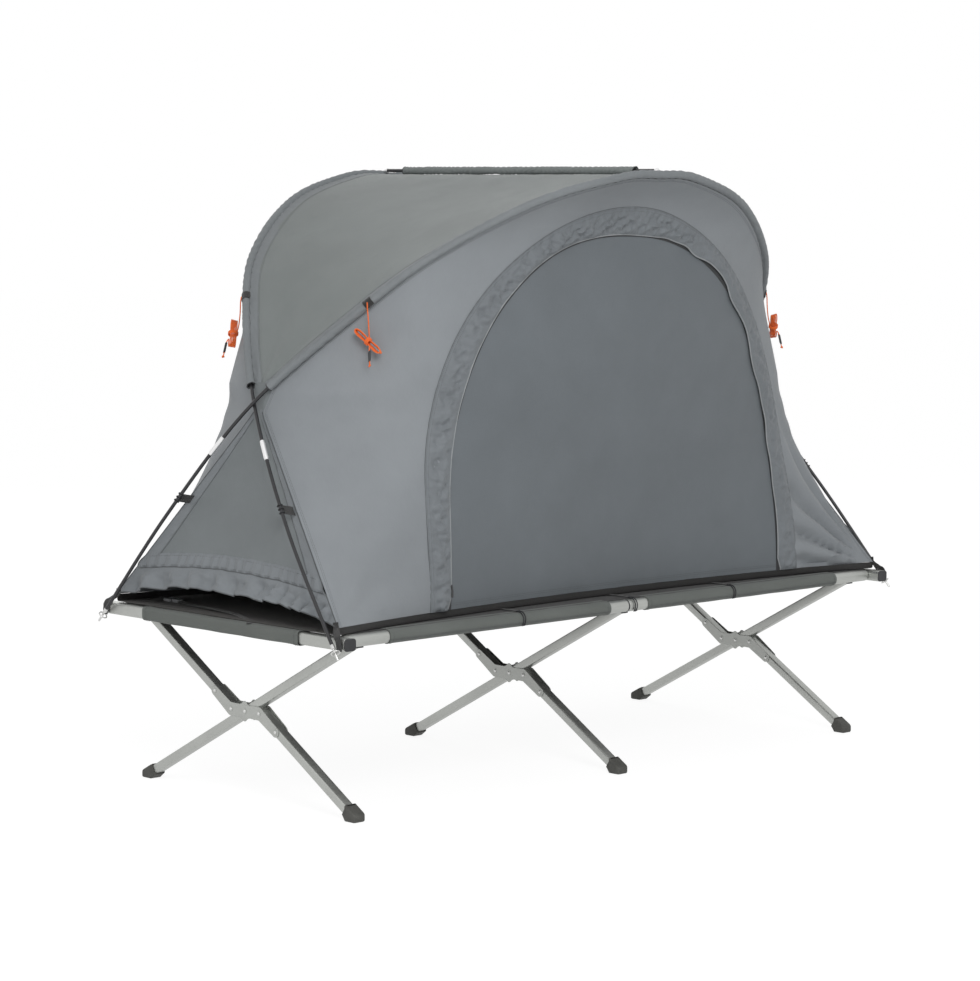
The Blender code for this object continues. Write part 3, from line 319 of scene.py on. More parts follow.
# Materials
class Shader:
    """A Principled material with a few short ways to add its procedural nodes."""

    def __init__(self, name, rough, metal=0.0, sheen=0.0):
        self.mat = bpy.data.materials.new(name)
        self.mat.use_nodes = True
        self.tree = self.mat.node_tree
        self.main = self.tree.nodes["Principled BSDF"]
        self.main.inputs["Roughness"].default_value = rough
        self.main.inputs["Metallic"].default_value = metal
        self.main.inputs["Sheen Weight"].default_value = sheen
        self.coords = self.tree.nodes.new("ShaderNodeTexCoord")

    def add(self, kind, settings=None, **inputs):
        node = self.tree.nodes.new(kind)
        for key, value in (settings or {}).items():
            setattr(node, key, value)
        for key, value in inputs.items():
            socket = node.inputs[int(key[1:])] if key[0] == "i" and key[1:].isdigit() \
                else node.inputs[key.replace("_", " ")]
            if isinstance(value, bpy.types.NodeSocket):
                self.tree.links.new(value, socket)
            else:
                socket.default_value = value
        return node

    def place(self, source="UV", scale=(1, 1, 1), turn=0.0):
        return self.add("ShaderNodeMapping", Vector=self.coords.outputs[source], Scale=scale,
                        Rotation=(0, 0, turn)).outputs[0]

    def cloud(self, scale, detail=3.0, source="Object", stretch=(1, 1, 1), turn=0.0, rough=0.55):
        """Noise from 0 to 1, the scale in waves a metre."""
        return self.add("ShaderNodeTexNoise", Vector=self.place(source, stretch, turn), Scale=scale,
                        Detail=detail, Roughness=rough).outputs["Fac"]

    def threads(self, pitch, turn=0.0, way="X", wobble=0.6, source="UV"):
        """Rows of threads at a pitch in metres."""
        node = self.add("ShaderNodeTexWave", {"bands_direction": way}, Vector=self.place(source, turn=turn),
                        Scale=math.pi / 10 / pitch, Distortion=wobble, Detail=2.0, Detail_Scale=1.5)
        return node.outputs["Fac"]

    def sum(self, a, b, how="ADD"):
        return self.add("ShaderNodeMath", {"operation": how}, i0=a, i1=b).outputs[0]

    def mix(self, a, share_a, b, share_b):
        return self.sum(self.sum(a, share_a, "MULTIPLY"), self.sum(b, share_b, "MULTIPLY"))

    def ramp(self, value, stops):
        node = self.add("ShaderNodeValToRGB", Fac=value)
        ramp = node.color_ramp
        for i, (at, colour) in enumerate(stops):
            stop = ramp.elements[i] if i < 2 else ramp.elements.new(at)
            stop.position, stop.color = at, (*colour, 1)
        return node.outputs["Color"]

    def colour(self, value, dark, light, low=0.3, high=0.7):
        self.tree.links.new(self.ramp(value, [(low, dark), (high, light)]), self.main.inputs["Base Color"])

    def roughness(self, value, low, high):
        found = self.add("ShaderNodeMapRange", Value=value, To_Min=low, To_Max=high).outputs[0]
        self.tree.links.new(found, self.main.inputs["Roughness"])

    def bump(self, *layers):
        """Bump layers of (height from 0 to 1, depth in metres)."""
        last = None
        for height, depth in layers:
            node = self.add("ShaderNodeBump", Height=height, Distance=depth, Strength=1.0)
            if last:
                self.tree.links.new(last, node.inputs["Normal"])
            last = node.outputs["Normal"]
        self.tree.links.new(last, self.main.inputs["Normal"])
        return self.mat


def shade(colour, factor):
    """A colour made darker or lighter."""
    return tuple(min(1.0, c * factor) for c in colour)


def cloth_material(name, colour, pitch=0.0007, depth=0.00012, rough=0.68, crease=0.0016, mottle=0.10):
    """Woven cloth: crossed threads, thick and thin yarns, soft creases, faint mottling and dust."""
    m = Shader(name, rough, sheen=0.12)
    warp, weft = m.threads(pitch), m.threads(pitch, way="Y")
    weave = m.sum(warp, weft, "MAXIMUM")
    yarns = m.sum(m.cloud(60, 2, "UV", (14, 0.6, 1)), m.cloud(60, 2, "UV", (0.6, 14, 1)))
    soft = m.cloud(5.0, 5)
    tone = m.mix(soft, 0.62, m.sum(yarns, 0.5, "MULTIPLY"), 0.38)
    m.colour(tone, shade(colour, 1 - mottle), shade(colour, 1 + mottle), 0.32, 0.68)
    m.roughness(m.cloud(18, 4), rough - 0.08, rough + 0.10)
    return m.bump((m.cloud(9, 4, rough=0.5), crease), (m.cloud(55, 3), crease * 0.16), (weave, depth))


def webbing_material(name, colour):
    """Ribbed narrow webbing with a fuzzy surface."""
    m = Shader(name, 0.82, sheen=0.25)
    ribs = m.threads(0.0016, way="Y", wobble=0.3)
    fine = m.threads(0.0007, turn=math.radians(35))
    m.colour(m.mix(ribs, 0.6, m.cloud(160, 3), 0.4), shade(colour, 0.6), shade(colour, 1.7), 0.2, 0.8)
    return m.bump((ribs, 0.0003), (fine, 0.00012))


def metal_material(name, colour, rough, metal, grain=240, wear=0.25):
    """Anodised or coated metal: fine drawn grain, faint smudges and small scuffs."""
    m = Shader(name, rough, metal)
    grainy = m.cloud(grain, 4, stretch=(0.06, 1, 1))
    smudge = m.cloud(7, 5)
    m.colour(m.mix(smudge, 0.7, grainy, 0.3), shade(colour, 1 - wear * 0.5), shade(colour, 1 + wear * 0.5))
    m.roughness(m.sum(smudge, m.sum(grainy, 0.35, "MULTIPLY")), rough - 0.08, rough + 0.16)
    return m.bump((grainy, 0.00004), (m.cloud(35, 4), 0.00012))


def plastic_material(name, colour, rough, pit=0.00006, scale=420):
    """Moulded plastic or rubber: fine spark-eroded texture, scuffs a shade lighter."""
    m = Shader(name, rough)
    scuff = m.cloud(22, 6, rough=0.7)
    m.colour(scuff, colour, shade(colour, 1.9), 0.45, 0.85)
    m.roughness(scuff, rough - 0.1, rough + 0.2)
    return m.bump((m.cloud(scale, 2), pit))


def cord_material(name, colour):
    """Braided cord: two crossing sets of strands."""
    m = Shader(name, 0.62, sheen=0.2)
    a = m.threads(0.0011, math.radians(32), wobble=0.2)
    b = m.threads(0.0011, math.radians(-32), wobble=0.2)
    braid = m.sum(a, b, "MAXIMUM")
    m.colour(m.mix(braid, 0.75, m.cloud(120, 3), 0.25), shade(colour, 0.78), shade(colour, 1.15), 0.2, 0.75)
    return m.bump((braid, 0.00022))


M = {
    # seam: the seam ridges are real, their dark tone is painted shade of the grooves along the flap's outer
    # seam and the end panels' seams, and of the shadow line under the end hem band
    "seam": cloth_material("seam", (0.095, 0.104, 0.110)),
    "roof": cloth_material("roof_cloth", (0.196, 0.216, 0.213)),
    "wall": cloth_material("wall_cloth", (0.250, 0.269, 0.286)),
    "band": cloth_material("band_cloth", (0.214, 0.232, 0.247), crease=0.0022),
    # flap: the wall's own cloth in a darker copy, painted shade standing for the light that shines through the
    # single wall but not through the doubled flap
    "flap": cloth_material("flap_cloth_painted_shade", (0.176, 0.193, 0.207), crease=0.0030),
    "end": cloth_material("end_cloth", (0.186, 0.205, 0.212)),
    "sleeve": cloth_material("arch_sleeve_cloth", (0.200, 0.217, 0.227), crease=0.0026),
    "door": cloth_material("door_cloth", (0.138, 0.156, 0.170), crease=0.0012),
    "piping": cloth_material("piping_cloth", (0.31, 0.325, 0.335), pitch=0.0005),
    "hem": cloth_material("canvas_cloth", (0.130, 0.142, 0.132), pitch=0.0010, depth=0.0002, rough=0.8),
    # bed: black canvas, also used, darker still, as painted shade on the tent floor's turned-up edges; floor: a
    # lighter copy of it, painted light where the floor's middle is lit
    "bed": cloth_material("bed_canvas", (0.012, 0.0115, 0.011), pitch=0.0010, depth=0.0002, rough=0.78),
    "floor": cloth_material("floor_coating_painted_light", (0.046, 0.043, 0.038), pitch=0.0008, rough=0.6),
    "dark": cloth_material("seam_tape", (0.030, 0.032, 0.034), pitch=0.0006),
    "thread": cord_material("sewing_thread", (0.075, 0.080, 0.085)),
    "webbing": webbing_material("black_webbing", (0.014, 0.014, 0.014)),
    "aluminium": metal_material("anodised_aluminium", (0.44, 0.45, 0.43), 0.38, 0.88),
    "steel": metal_material("bright_steel", (0.62, 0.62, 0.61), 0.26, 1.0, wear=0.15),
    "ferrule": metal_material("ferrule_aluminium", (0.82, 0.82, 0.82), 0.30, 0.85, wear=0.12),
    "plate": metal_material("coated_plate", (0.43, 0.44, 0.42), 0.42, 0.82),
    "plastic": plastic_material("black_plastic_grained", (0.022, 0.023, 0.025), 0.50),
    "rubber": plastic_material("black_rubber", (0.070, 0.070, 0.064), 0.66, 0.00012, 260),
    "buckle": plastic_material("grey_buckle", (0.34, 0.35, 0.36), 0.42),
    "zip": plastic_material("zip_coil", (0.03, 0.03, 0.032), 0.40),
    "pole": plastic_material("glass_fibre", (0.016, 0.016, 0.018), 0.30, 0.00002, 160),
    "orange": cord_material("orange_cord", (0.96, 0.155, 0.014)),
}
TENT_SHADES = ("roof", "wall", "band", "end", "sleeve", "flap", "piping", "thread")
SLOTS = {**dict.fromkeys(TENT_SHADES, "tent_cloth"), **dict.fromkeys(("aluminium", "ferrule"), "aluminium"),
         **dict.fromkeys(("plastic", "buckle", "zip"), "black_plastic"), "door": "door_cloth",
         "hem": "sleeve_cloth", "bed": "bed_cloth", "plate": "hub_steel", "rubber": "rubber",
         "pole": "fibreglass", "orange": "guy_cord"}


# Building helpers
def made(name, mesh, shades, body, sharp=40):
    """A mesh object in its materials, smooth where it is round, riding on its body."""
    mesh.shade_smooth()
    mesh.set_sharp_from_angle(angle=math.radians(sharp))
    obj = linked(name, mesh)
    for key in shades:
        mesh.materials.append(M[key])
    if body:
        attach(obj, body)
    return obj


def new_bm():
    """An empty mesh under construction, with a UV layer."""
    bm = bmesh.new()
    bm.loops.layers.uv.new("UVMap")
    return bm


def finish_bmesh(name, bm, shades, body, sharp=40):
    """The object made of a mesh under construction."""
    bmesh.ops.recalc_face_normals(bm, faces=bm.faces)
    mesh = bpy.data.meshes.new(name)
    bm.to_mesh(mesh)
    bm.free()
    return made(name, mesh, shades, body, sharp)


def skin(bm, rings, shade=0):
    """Faces from each ring of points to the next, closed at both ends."""
    for low, high in zip(rings, rings[1:]):
        for k in range(len(low)):
            j = (k + 1) % len(low)
            bm.faces.new((low[k], low[j], high[j], high[k])).material_index = shade
    bm.faces.new(rings[0][::-1]).material_index = shade
    bm.faces.new(rings[-1]).material_index = shade


def sweep_frames(points):
    """Two unit vectors across a smooth route at each point, turning as little as they can."""
    runs = tangents(points)
    side = runs[0].orthogonal().normalized()
    frames = []
    for tangent in runs:
        side = square(side, tangent)
        frames.append((side, tangent.cross(side)))
    return frames


def add_tube(bm, points, radii, sides=12, closed=False):
    """A round bar or ring along a route, with UVs in metres."""
    uv = bm.loops.layers.uv.active
    rings = []
    for point, radius, (side, up) in zip(points, radii, sweep_frames(points)):
        rings.append([bm.verts.new(point + side * (radius * math.cos(2 * math.pi * k / sides))
                                   + up * (radius * math.sin(2 * math.pi * k / sides))) for k in range(sides)])
    lengths = distances(points)
    pairs = list(zip(rings, rings[1:], lengths, lengths[1:]))
    if closed:
        pairs.append((rings[-1], rings[0], lengths[-1], lengths[-1] + (points[0] - points[-1]).length))
    for low, high, a, b in pairs:
        for k in range(sides):
            j = (k + 1) % sides
            face = bm.faces.new((low[k], low[j], high[j], high[k]))
            around = 2 * math.pi * radii[0] / sides
            for loop, co in zip(face.loops, ((a, k * around), (a, (k + 1) * around),
                                             (b, (k + 1) * around), (b, k * around))):
                loop[uv].uv = co
    if not closed:
        for ring in (rings[0][::-1], rings[-1]):
            bm.faces.new(ring)


def tube(name, points, radius, shade, body, sides=12):
    """A round tube of one thickness along a route."""
    bm = new_bm()
    add_tube(bm, points, [radius] * len(points), sides)
    return finish_bmesh(name, bm, [shade], body, 50)


def normals_of(grid, out=None):
    """Unit normals of a grid of points, all to the side that out points to."""
    du, dv = np.gradient(grid, axis=0), np.gradient(grid, axis=1)
    n = np.cross(du, dv)
    n /= np.maximum(np.linalg.norm(n, axis=2, keepdims=True), 1e-12)
    if out is not None:
        facing = np.sum(n * np.asarray(out), axis=2)
        n *= np.where(np.sum(facing) < 0, -1.0, 1.0)
    return n


def clouds(grid, scale, seed, octaves=3):
    """Smooth noise from about -1 to 1 at each point of a grid."""
    flat = grid.reshape(-1, 3)
    shift = Vector((seed * 7.31, seed * 3.17, seed * 5.71))
    values = [noise.fractal(Vector(p) * scale + shift, 0.7, 2.0, octaves) for p in flat]
    return np.array(values).reshape(grid.shape[:2])


def finer(grid, times):
    """The grid with extra columns between its own."""
    at = np.linspace(0, grid.shape[1] - 1, (grid.shape[1] - 1) * times + 1)
    low = np.minimum(at.astype(int), grid.shape[1] - 2)
    part = (at - low).reshape([1, -1] + [1] * (grid.ndim - 2))
    return grid[:, low] * (1 - part) + grid[:, low + 1] * part


def along(grid, axis):
    """Distance along the rows (axis 1) or columns (axis 0) of a grid, in metres."""
    steps = np.linalg.norm(np.diff(grid, axis=axis), axis=2)
    total = np.cumsum(steps, axis=axis)
    return np.concatenate([np.zeros_like(np.take(total, [0], axis=axis)), total], axis=axis)


def soft(low, high, value):
    """A smooth step from 0 at low to 1 at high."""
    t = np.clip((value - low) / (high - low), 0, 1)
    return t * t * (3 - 2 * t)


def panel(name, grid, shades, body, thick=0.0009, pick=None):
    """A cloth panel: a grid of points made a thin closed solid, with UVs in metres."""
    grid = np.asarray(grid, float)
    n = normals_of(grid)
    rows, cols = grid.shape[:2]
    count = rows * cols
    verts = np.concatenate([(grid + n * thick / 2).reshape(-1, 3), (grid - n * thick / 2).reshape(-1, 3)])
    u, v = along(grid, 1), along(grid, 0)
    u = u - u[:, [cols // 2]]
    uv = np.stack([u, v], axis=2).reshape(-1, 2)
    i, j = np.meshgrid(np.arange(rows - 1), np.arange(cols - 1), indexing="ij")
    a = (i * cols + j).ravel()
    top = np.stack([a, a + 1, a + cols + 1, a + cols], axis=1)
    low = top[:, ::-1] + count
    rim = []
    for line in (list(range(cols)), [r * cols + cols - 1 for r in range(rows)],
                 list(range(count - 1, count - cols - 1, -1)), [r * cols for r in range(rows - 1, -1, -1)]):
        rim += [(line[k + 1], line[k], line[k] + count, line[k + 1] + count) for k in range(len(line) - 1)]
    faces = np.concatenate([top, low, np.array(rim)])
    mesh = bpy.data.meshes.new(name)
    mesh.from_pydata(verts.tolist(), [], faces.tolist())
    layer = mesh.uv_layers.new(name="UVMap")
    wide = np.concatenate([uv, uv])
    index = np.empty(len(mesh.loops), dtype=np.int32)
    mesh.loops.foreach_get("vertex_index", index)
    layer.data.foreach_set("uv", wide[index].astype(np.float32).ravel())
    if pick is not None:
        kinds = np.asarray(pick)[:-1, :-1].ravel()
        every = np.concatenate([kinds, kinds, np.zeros(len(rim), int)])
        mesh.polygons.foreach_set("material_index", every.astype(np.int32))
    bm = bmesh.new()
    bm.from_mesh(mesh)
    bmesh.ops.remove_doubles(bm, verts=bm.verts, dist=1e-6)
    bmesh.ops.recalc_face_normals(bm, faces=bm.faces)
    bm.to_mesh(mesh)
    bm.free()
    return made(name, mesh, shades, body, 55)


def vec(p):
    """A point of a grid as a Vector."""
    return Vector((float(p[0]), float(p[1]), float(p[2])))


def line_across(grid, n, rising, at):
    """Where a value that rises down the rows of a grid reaches at, with the grid's normals there."""
    path, ups = [], []
    for i in range(grid.shape[1]):
        column = rising[:, i]
        j = min(max(int(np.searchsorted(column, at)), 1), len(column) - 1)
        t = (at - column[j - 1]) / max(column[j] - column[j - 1], 1e-9)
        path.append(grid[j - 1, i] + (grid[j, i] - grid[j - 1, i]) * min(1, max(0, t)))
        ups.append(n[j, i])
    return path, ups


def flat_area(grid):
    """The cloth's own area in square metres."""
    g = np.asarray(grid, float)
    a, b = g[1:, :-1] - g[:-1, :-1], g[:-1, 1:] - g[:-1, :-1]
    c, d = g[1:, :-1] - g[1:, 1:], g[:-1, 1:] - g[1:, 1:]
    return float((np.linalg.norm(np.cross(a, b), axis=2) + np.linalg.norm(np.cross(c, d), axis=2)).sum() / 2)


def declare(grid):
    """Measure a sheet's cut, its width and length along the cloth and its area, without keeping them."""
    grid = np.asarray(grid, float)
    width = float(np.percentile(along(grid, 1)[:, -1], 90))
    length = float(along(grid, 0)[-1].max())
    area = flat_area(grid)
    length *= max(1.0, area / (width * length) * 1.0001)


def add_strap(bm, route, width, thickness):
    """Flat webbing along a route of (point, width direction), with rounded edges."""
    uv = bm.loops.layers.uv.active
    points = [Vector(p) for p, _ in route]
    lengths = distances(points)
    w, t = width / 2, thickness / 2
    section = [(-w, 0), (-w + t * 0.6, -t), (w - t * 0.6, -t), (w, 0), (w - t * 0.6, t), (-w + t * 0.6, t)]
    rings = []
    for point, tangent, (_, across) in zip(points, tangents(points), route):
        side = square(Vector(across), tangent)
        up = tangent.cross(side).normalized()
        rings.append([bm.verts.new(point + side * a + up * b) for a, b in section])
    for r, (low, high) in enumerate(zip(rings, rings[1:])):
        for k in range(6):
            j = (k + 1) % 6
            face = bm.faces.new((low[k], low[j], high[j], high[k]))
            for loop, co in zip(face.loops, ((section[k][0], lengths[r]), (section[j][0], lengths[r]),
                                             (section[j][0], lengths[r + 1]), (section[k][0], lengths[r + 1]))):
                loop[uv].uv = co
    for ring in (rings[0][::-1], rings[-1]):
        bm.faces.new(ring)


def bindings(name, grid, radius):
    """The bound edges at both ends of a cloth tube."""
    bm = new_bm()
    for ring in (grid[0], grid[-1]):
        add_tube(bm, [vec(p) for p in ring[:-1]], [radius] * (len(ring) - 1), 8, closed=True)
    finish_bmesh(name, bm, ["dark"], "tent")


def strap(name, routes, width, thickness, shade, body):
    """Straps of one kind, each along its own route."""
    bm = new_bm()
    for route in routes:
        add_strap(bm, route, width, thickness)
    return finish_bmesh(name, bm, [shade], body, 50)


def add_stitches(bm, path, normals, pitch=0.0042, length=0.0030, radius=0.00042, lift=0.0006):
    """A row of separate thread stitches that lie on the cloth along a path."""
    lengths = distances(path)
    count = int(lengths[-1] / pitch)
    i = 0
    for k in range(count):
        at = (k + 0.5) * pitch
        while i < len(path) - 2 and lengths[i + 1] < at:
            i += 1
        t = (at - lengths[i]) / max(lengths[i + 1] - lengths[i], 1e-9)
        centre = path[i].lerp(path[i + 1], t)
        way = (path[i + 1] - path[i]).normalized()
        up = Vector(normals[i]).normalized()
        centre = centre + up * lift
        side = way.cross(up).normalized()
        ends = [bm.verts.new(centre - way * (length / 2) - up * radius),
                bm.verts.new(centre + way * (length / 2) - up * radius)]
        ring = [bm.verts.new(centre + side * radius * a + up * radius * b + way * length * 0.30 * c)
                for c in (-1, 1) for a, b in ((1, 0), (0, 1), (-1, 0), (0, -1))]
        for q in range(4):
            j = (q + 1) % 4
            faces = ((ends[0], ring[j], ring[q]), (ring[q], ring[j], ring[4 + j], ring[4 + q]),
                     (ends[1], ring[4 + q], ring[4 + j]))
            for corners in faces:
                bm.faces.new(corners)


STITCHED = {}


def stitch(body, path, normals, **how):
    """Collect the stitches of a body; they become one piece when all the seams are sewn."""
    STITCHED.setdefault(body, []).append(([Vector(p) for p in path], normals, how))


def sew():
    """One piece for each body, of all the stitches in it."""
    for body, rows in STITCHED.items():
        bm = new_bm()
        for path, normals, how in rows:
            add_stitches(bm, path, normals, **how)
        finish_bmesh(f"stitching_{body}", bm, ["thread"], body, 30)


def rounded_rectangle(width, depth, cut, steps=4):
    """A rectangle with round corners, counterclockwise."""
    w, d = width / 2 - cut, depth / 2 - cut
    loop = []
    for cx, cy, start in ((w, -d, -90), (w, d, 0), (-w, d, 90), (-w, -d, 180)):
        for k in range(steps + 1):
            a = math.radians(start + 90 * k / steps)
            loop.append((cx + cut * math.cos(a), cy + cut * math.sin(a)))
    return loop


def extrusion(name, loops, start, end, across, shade, body, ends=0.0006):
    """A tube with the given outlines (outer, then bore) from start to end, its ends slightly rounded."""
    start, end = Vector(start), Vector(end)
    way = (end - start).normalized()
    side = Vector(across)
    up = way.cross(side)
    bm = new_bm()
    uv = bm.loops.layers.uv.active
    length = (end - start).length
    stations = [0.0, ends, length - ends, length]
    skins = []
    for which, loop in enumerate(loops):
        rings = []
        for s, at in enumerate(stations):
            grow = 1.0
            if s in (0, len(stations) - 1):
                grow = 1 - ends / 0.013 if which == 0 else 1 + ends / 0.013
            place = start + way * at
            rings.append([bm.verts.new(place + side * (u * grow) + up * (v * grow)) for u, v in loop])
        for low, high, a, b in zip(rings, rings[1:], stations, stations[1:]):
            for k in range(len(loop)):
                j = (k + 1) % len(loop)
                order = (low[k], low[j], high[j], high[k])
                face = bm.faces.new(order if which == 0 else order[::-1])
                run = k * 0.003
                values = ((a, run), (a, run + 0.003), (b, run + 0.003), (b, run))
                for corner, co in zip(face.loops, values if which == 0 else values[::-1]):
                    corner[uv].uv = co
        skins.append(rings)
    for end_index in (0, -1):
        outer = skins[0][end_index]
        if len(skins) > 1:
            inner = skins[1][end_index]
            for k in range(len(outer)):
                j = (k + 1) % len(outer)
                quad = (outer[k], inner[k], inner[j], outer[j])
                bm.faces.new(quad if end_index == 0 else quad[::-1])
        else:
            bm.faces.new(outer[::-1] if end_index == 0 else outer)
    return finish_bmesh(name, bm, [shade], body, 35)


def circle(radius, count):
    """Points round a circle, counterclockwise."""
    return [(radius * math.cos(2 * math.pi * k / count), radius * math.sin(2 * math.pi * k / count))
            for k in range(count)]


# Cords
def guy_lines():
    """Four guy lines, each one cord from its strap through its hank to the slide tensioner on its tail."""
    for name, side in SIDES:
        for end, sign in ENDS:
            node = f"guy_line_{name}_{end}"
            centre, _, down, out = shoulder(side, sign)
            start = centre + out * (SLEEVE_R + STRAP_T / 2 + CORD_R + GAP)
            points, middle, lean, across = hank_points(start, down, out)
            tail = points[-1] + out * SLIDER_R
            reach = 2 * SLIDER_DROP + SLIDER_LENGTH
            route = points + [tail + down * k for k in (SLIDER_DROP, SLIDER_DROP + SLIDER_LENGTH, reach)]
            smooth = catmull(route, 3)
            data = bpy.data.curves.new(f"{node}_cord", "CURVE")
            data.dimensions = "3D"
            data.bevel_depth = CORD_R
            data.bevel_resolution = 3
            data.use_fill_caps = True
            spline = data.splines.new("POLY")
            spline.points.add(len(smooth) - 1)
            for point, co in zip(spline.points, smooth):
                point.co = (*co, 1)
            data.materials.append(M["orange"])
            cord = linked(f"{node}_cord", data)
            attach(cord, "tent")
            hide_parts(node)
            bm = new_bm()
            body = rounded_rectangle(2 * SLIDER_R, SLIDER_R * 1.3, SLIDER_R * 0.5, 3)
            up = down.cross(across).normalized()
            rings = []
            for at, grow in ((0, 0.7), (0.0015, 1), (SLIDER_LENGTH - 0.0015, 1), (SLIDER_LENGTH, 0.7)):
                place = tail + down * (SLIDER_DROP + at)
                rings.append([bm.verts.new(place + across * (u * grow) + up * (v * grow)) for u, v in body])
            skin(bm, rings)
            slider = finish_bmesh(f"{node}_tensioner", bm, ["plastic"], "tent", 40)
            bm = new_bm()
            turns = [tail + down * reach + (across * math.cos(a) + out * math.sin(a)) * 0.0022
                     + down * (math.sin(2 * a) * 0.0008) for a in [2 * math.pi * k / 12 for k in range(12)]]
            add_tube(bm, turns, [CORD_R * 1.05] * 12, 8, closed=True)
            end_knot = finish_bmesh(f"{node}_knot", bm, ["orange"], "tent", 60)
            waist = HANK_END_R * HANK_WAIST * 1.25 + CORD_R * 2
            deep = HANK_LOOPS / 2 * HANK_PITCH + CORD_R * 2
            wraps = []
            for k in range(3 * 20 + 1):
                a = 2 * math.pi * k / 20
                wraps.append(middle - lean * ((k / 60 - 0.5) * 3 * CORD_R * 2.1)
                             + across * (waist * math.cos(a)) + out * (deep * math.sin(a)))
            tie = tube(f"{node}_tie", wraps, CORD_R, "orange", "tent", 8)


guy_lines()


# The cot
def unit(dy, dz):
    """A direction in the plane of a leg set."""
    length = math.hypot(dy, dz)
    return dy / length, dz / length


LEG_SETS = (("left", -LEG_X), ("middle", 0.0), ("right", LEG_X))
RISE = unit(RAIL_Y, RAIL_Z - HUB_Z)
HALF_DIR = unit(RAIL_Y - HUB_RIVET_Y, RAIL_Z - HUB_Z)
LEG_TOP = RAIL_R + GAP + SADDLE_T + GAP
STEM_RIVET = LEG_TOP + SADDLE_STEM * 0.55
FOOT_Y = HUB_Z * RISE[0] / RISE[1]
HALF_FOOT_Y = HUB_RIVET_Y + HUB_Z * HALF_DIR[0] / HALF_DIR[1]
RAIL_WALL, LEG_WALL, BAR_WALL, WASHER_R = 0.0016, 0.0014, 0.0016, 0.0072
DOWEL_FLANGE_HALF, SPIGOT_LENGTH = 0.002, 0.0225
LEG_PAST_RIVET, BOOT_SOCKET = 0.006, 0.006
BAR_SEAM_INSET, HEM_SEAM_INSET = 0.012, 0.010
COARSE = {"pitch": 0.0036, "length": 0.0026}  # stitches in canvas


def rails():
    """Four rail tubes; the dowels between them keep their CAD solids."""
    for side, y, body in (("front", -RAIL_Y, "front_frame"), ("back", RAIL_Y, "back_frame")):
        for end, sign in ENDS:
            obj = extrusion(f"{side}_rail_{end}_tube", [circle(RAIL_R, 48), circle(RAIL_R - RAIL_WALL, 48)],
                            (sign * RAIL_END, y, RAIL_Z), (sign * (DOWEL_FLANGE_HALF + GAP), y, RAIL_Z),
                            (0, 1, 0), "aluminium", body)
            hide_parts(f"{side}_rail_{end}")
        dowel = nodes[f"{side}_rail_dowel"]
        dowel.data.materials.clear()
        dowel.data.materials.append(M["plastic"])


def end_bars():
    """The chamfered bars across both ends, the spigots into the front rail and the plugs in their ends."""
    outer = rounded_rectangle(BAR_WIDTH, BAR_HEIGHT, BAR_CHAMFER * 1.25, 5)
    inner = rounded_rectangle(BAR_WIDTH - 2 * BAR_WALL, BAR_HEIGHT - 2 * BAR_WALL, BAR_CHAMFER, 5)
    for end, sign in ENDS:
        x = sign * BAR_X
        obj = extrusion(f"{end}_bar_tube", [outer, inner], (x, -BAR_HALF, RAIL_Z), (x, BAR_HALF, RAIL_Z),
                        (1, 0, 0), "aluminium", "front_frame")
        spigot = extrusion(f"{end}_bar_spigot", [circle(RAIL_R - RAIL_WALL - 0.0004, 32)],
                           (sign * (BAR_X - BAR_WIDTH / 2 + BAR_WALL), -RAIL_Y, RAIL_Z),
                           (sign * (BAR_X - BAR_WIDTH / 2 - SPIGOT_LENGTH), -RAIL_Y, RAIL_Z), (0, 1, 0),
                           "aluminium", "front_frame")
        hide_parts(f"{end}_end_bar")
        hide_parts(f"{end}_end_bar")
        for side, way in SIDES:
            bm = new_bm()
            rings = []
            for at, grow in ((0, 1), (0.0018, 1), (0.0026, 0.96), (BAR_PLUG, 0.86), (BAR_PLUG - 0.0004, 0.7)):
                rings.append([bm.verts.new((x + u * grow, way * (BAR_HALF + GAP + at), RAIL_Z + v * grow))
                              for u, v in outer])
            skin(bm, rings)
            cap = finish_bmesh(f"{end}_plug_{side}", bm, ["plastic"], "front_frame", 30)
            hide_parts(f"{end}_bar_plug_{side}")


def bar_sleeves():
    """The canvas sleeves on the end bars: a wrapped cloth with a seam below and gathered, hemmed ends."""
    rows = 90
    for end, sign in ENDS:
        base = rounded_rectangle(BAR_WIDTH + 0.0024, BAR_HEIGHT + 0.0024, BAR_CHAMFER * 1.3, 10)
        count = len(base)
        near = BAR_WIDTH / 2 + 0.0008
        grid = []
        for r in range(rows + 1):
            y = -BAR_SLEEVE_HALF + 2 * BAR_SLEEVE_HALF * r / rows
            edge = min(r, rows - r) / rows
            row = []
            for k in range(count + 1):
                u, v = base[k % count]
                ripple = noise.noise(Vector((u * 30, v * 30 + sign, y * 14)))
                hem = 0.0005 if edge < 0.035 else 0.0
                grow = 1 + (0.0006 + 0.0011 * ripple + hem) / 0.016
                row.append((sign * (BAR_X + max(sign * u * grow, -near)), y, RAIL_Z + v * grow))
            grid.append(row)
        obj = panel(f"{end}_bar_cloth", grid, ["hem"], "front_frame", 0.0008)
        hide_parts(f"{end}_bar_sleeve")
        declare(grid)
        # the side that faces the folding rail stays free of stitches
        seam = sorted(((u, v) for u, v in base if sign * u > 0.003 - near),
                      key=lambda at: math.atan2(at[1], sign * at[0]))
        for y in (-BAR_SLEEVE_HALF + BAR_SEAM_INSET, BAR_SLEEVE_HALF - BAR_SEAM_INSET):
            stitch("front_frame", [(sign * BAR_X + u * 1.12, y, RAIL_Z + v * 1.12) for u, v in seam],
                   [(u, 0, v) for u, v in seam], **COARSE)


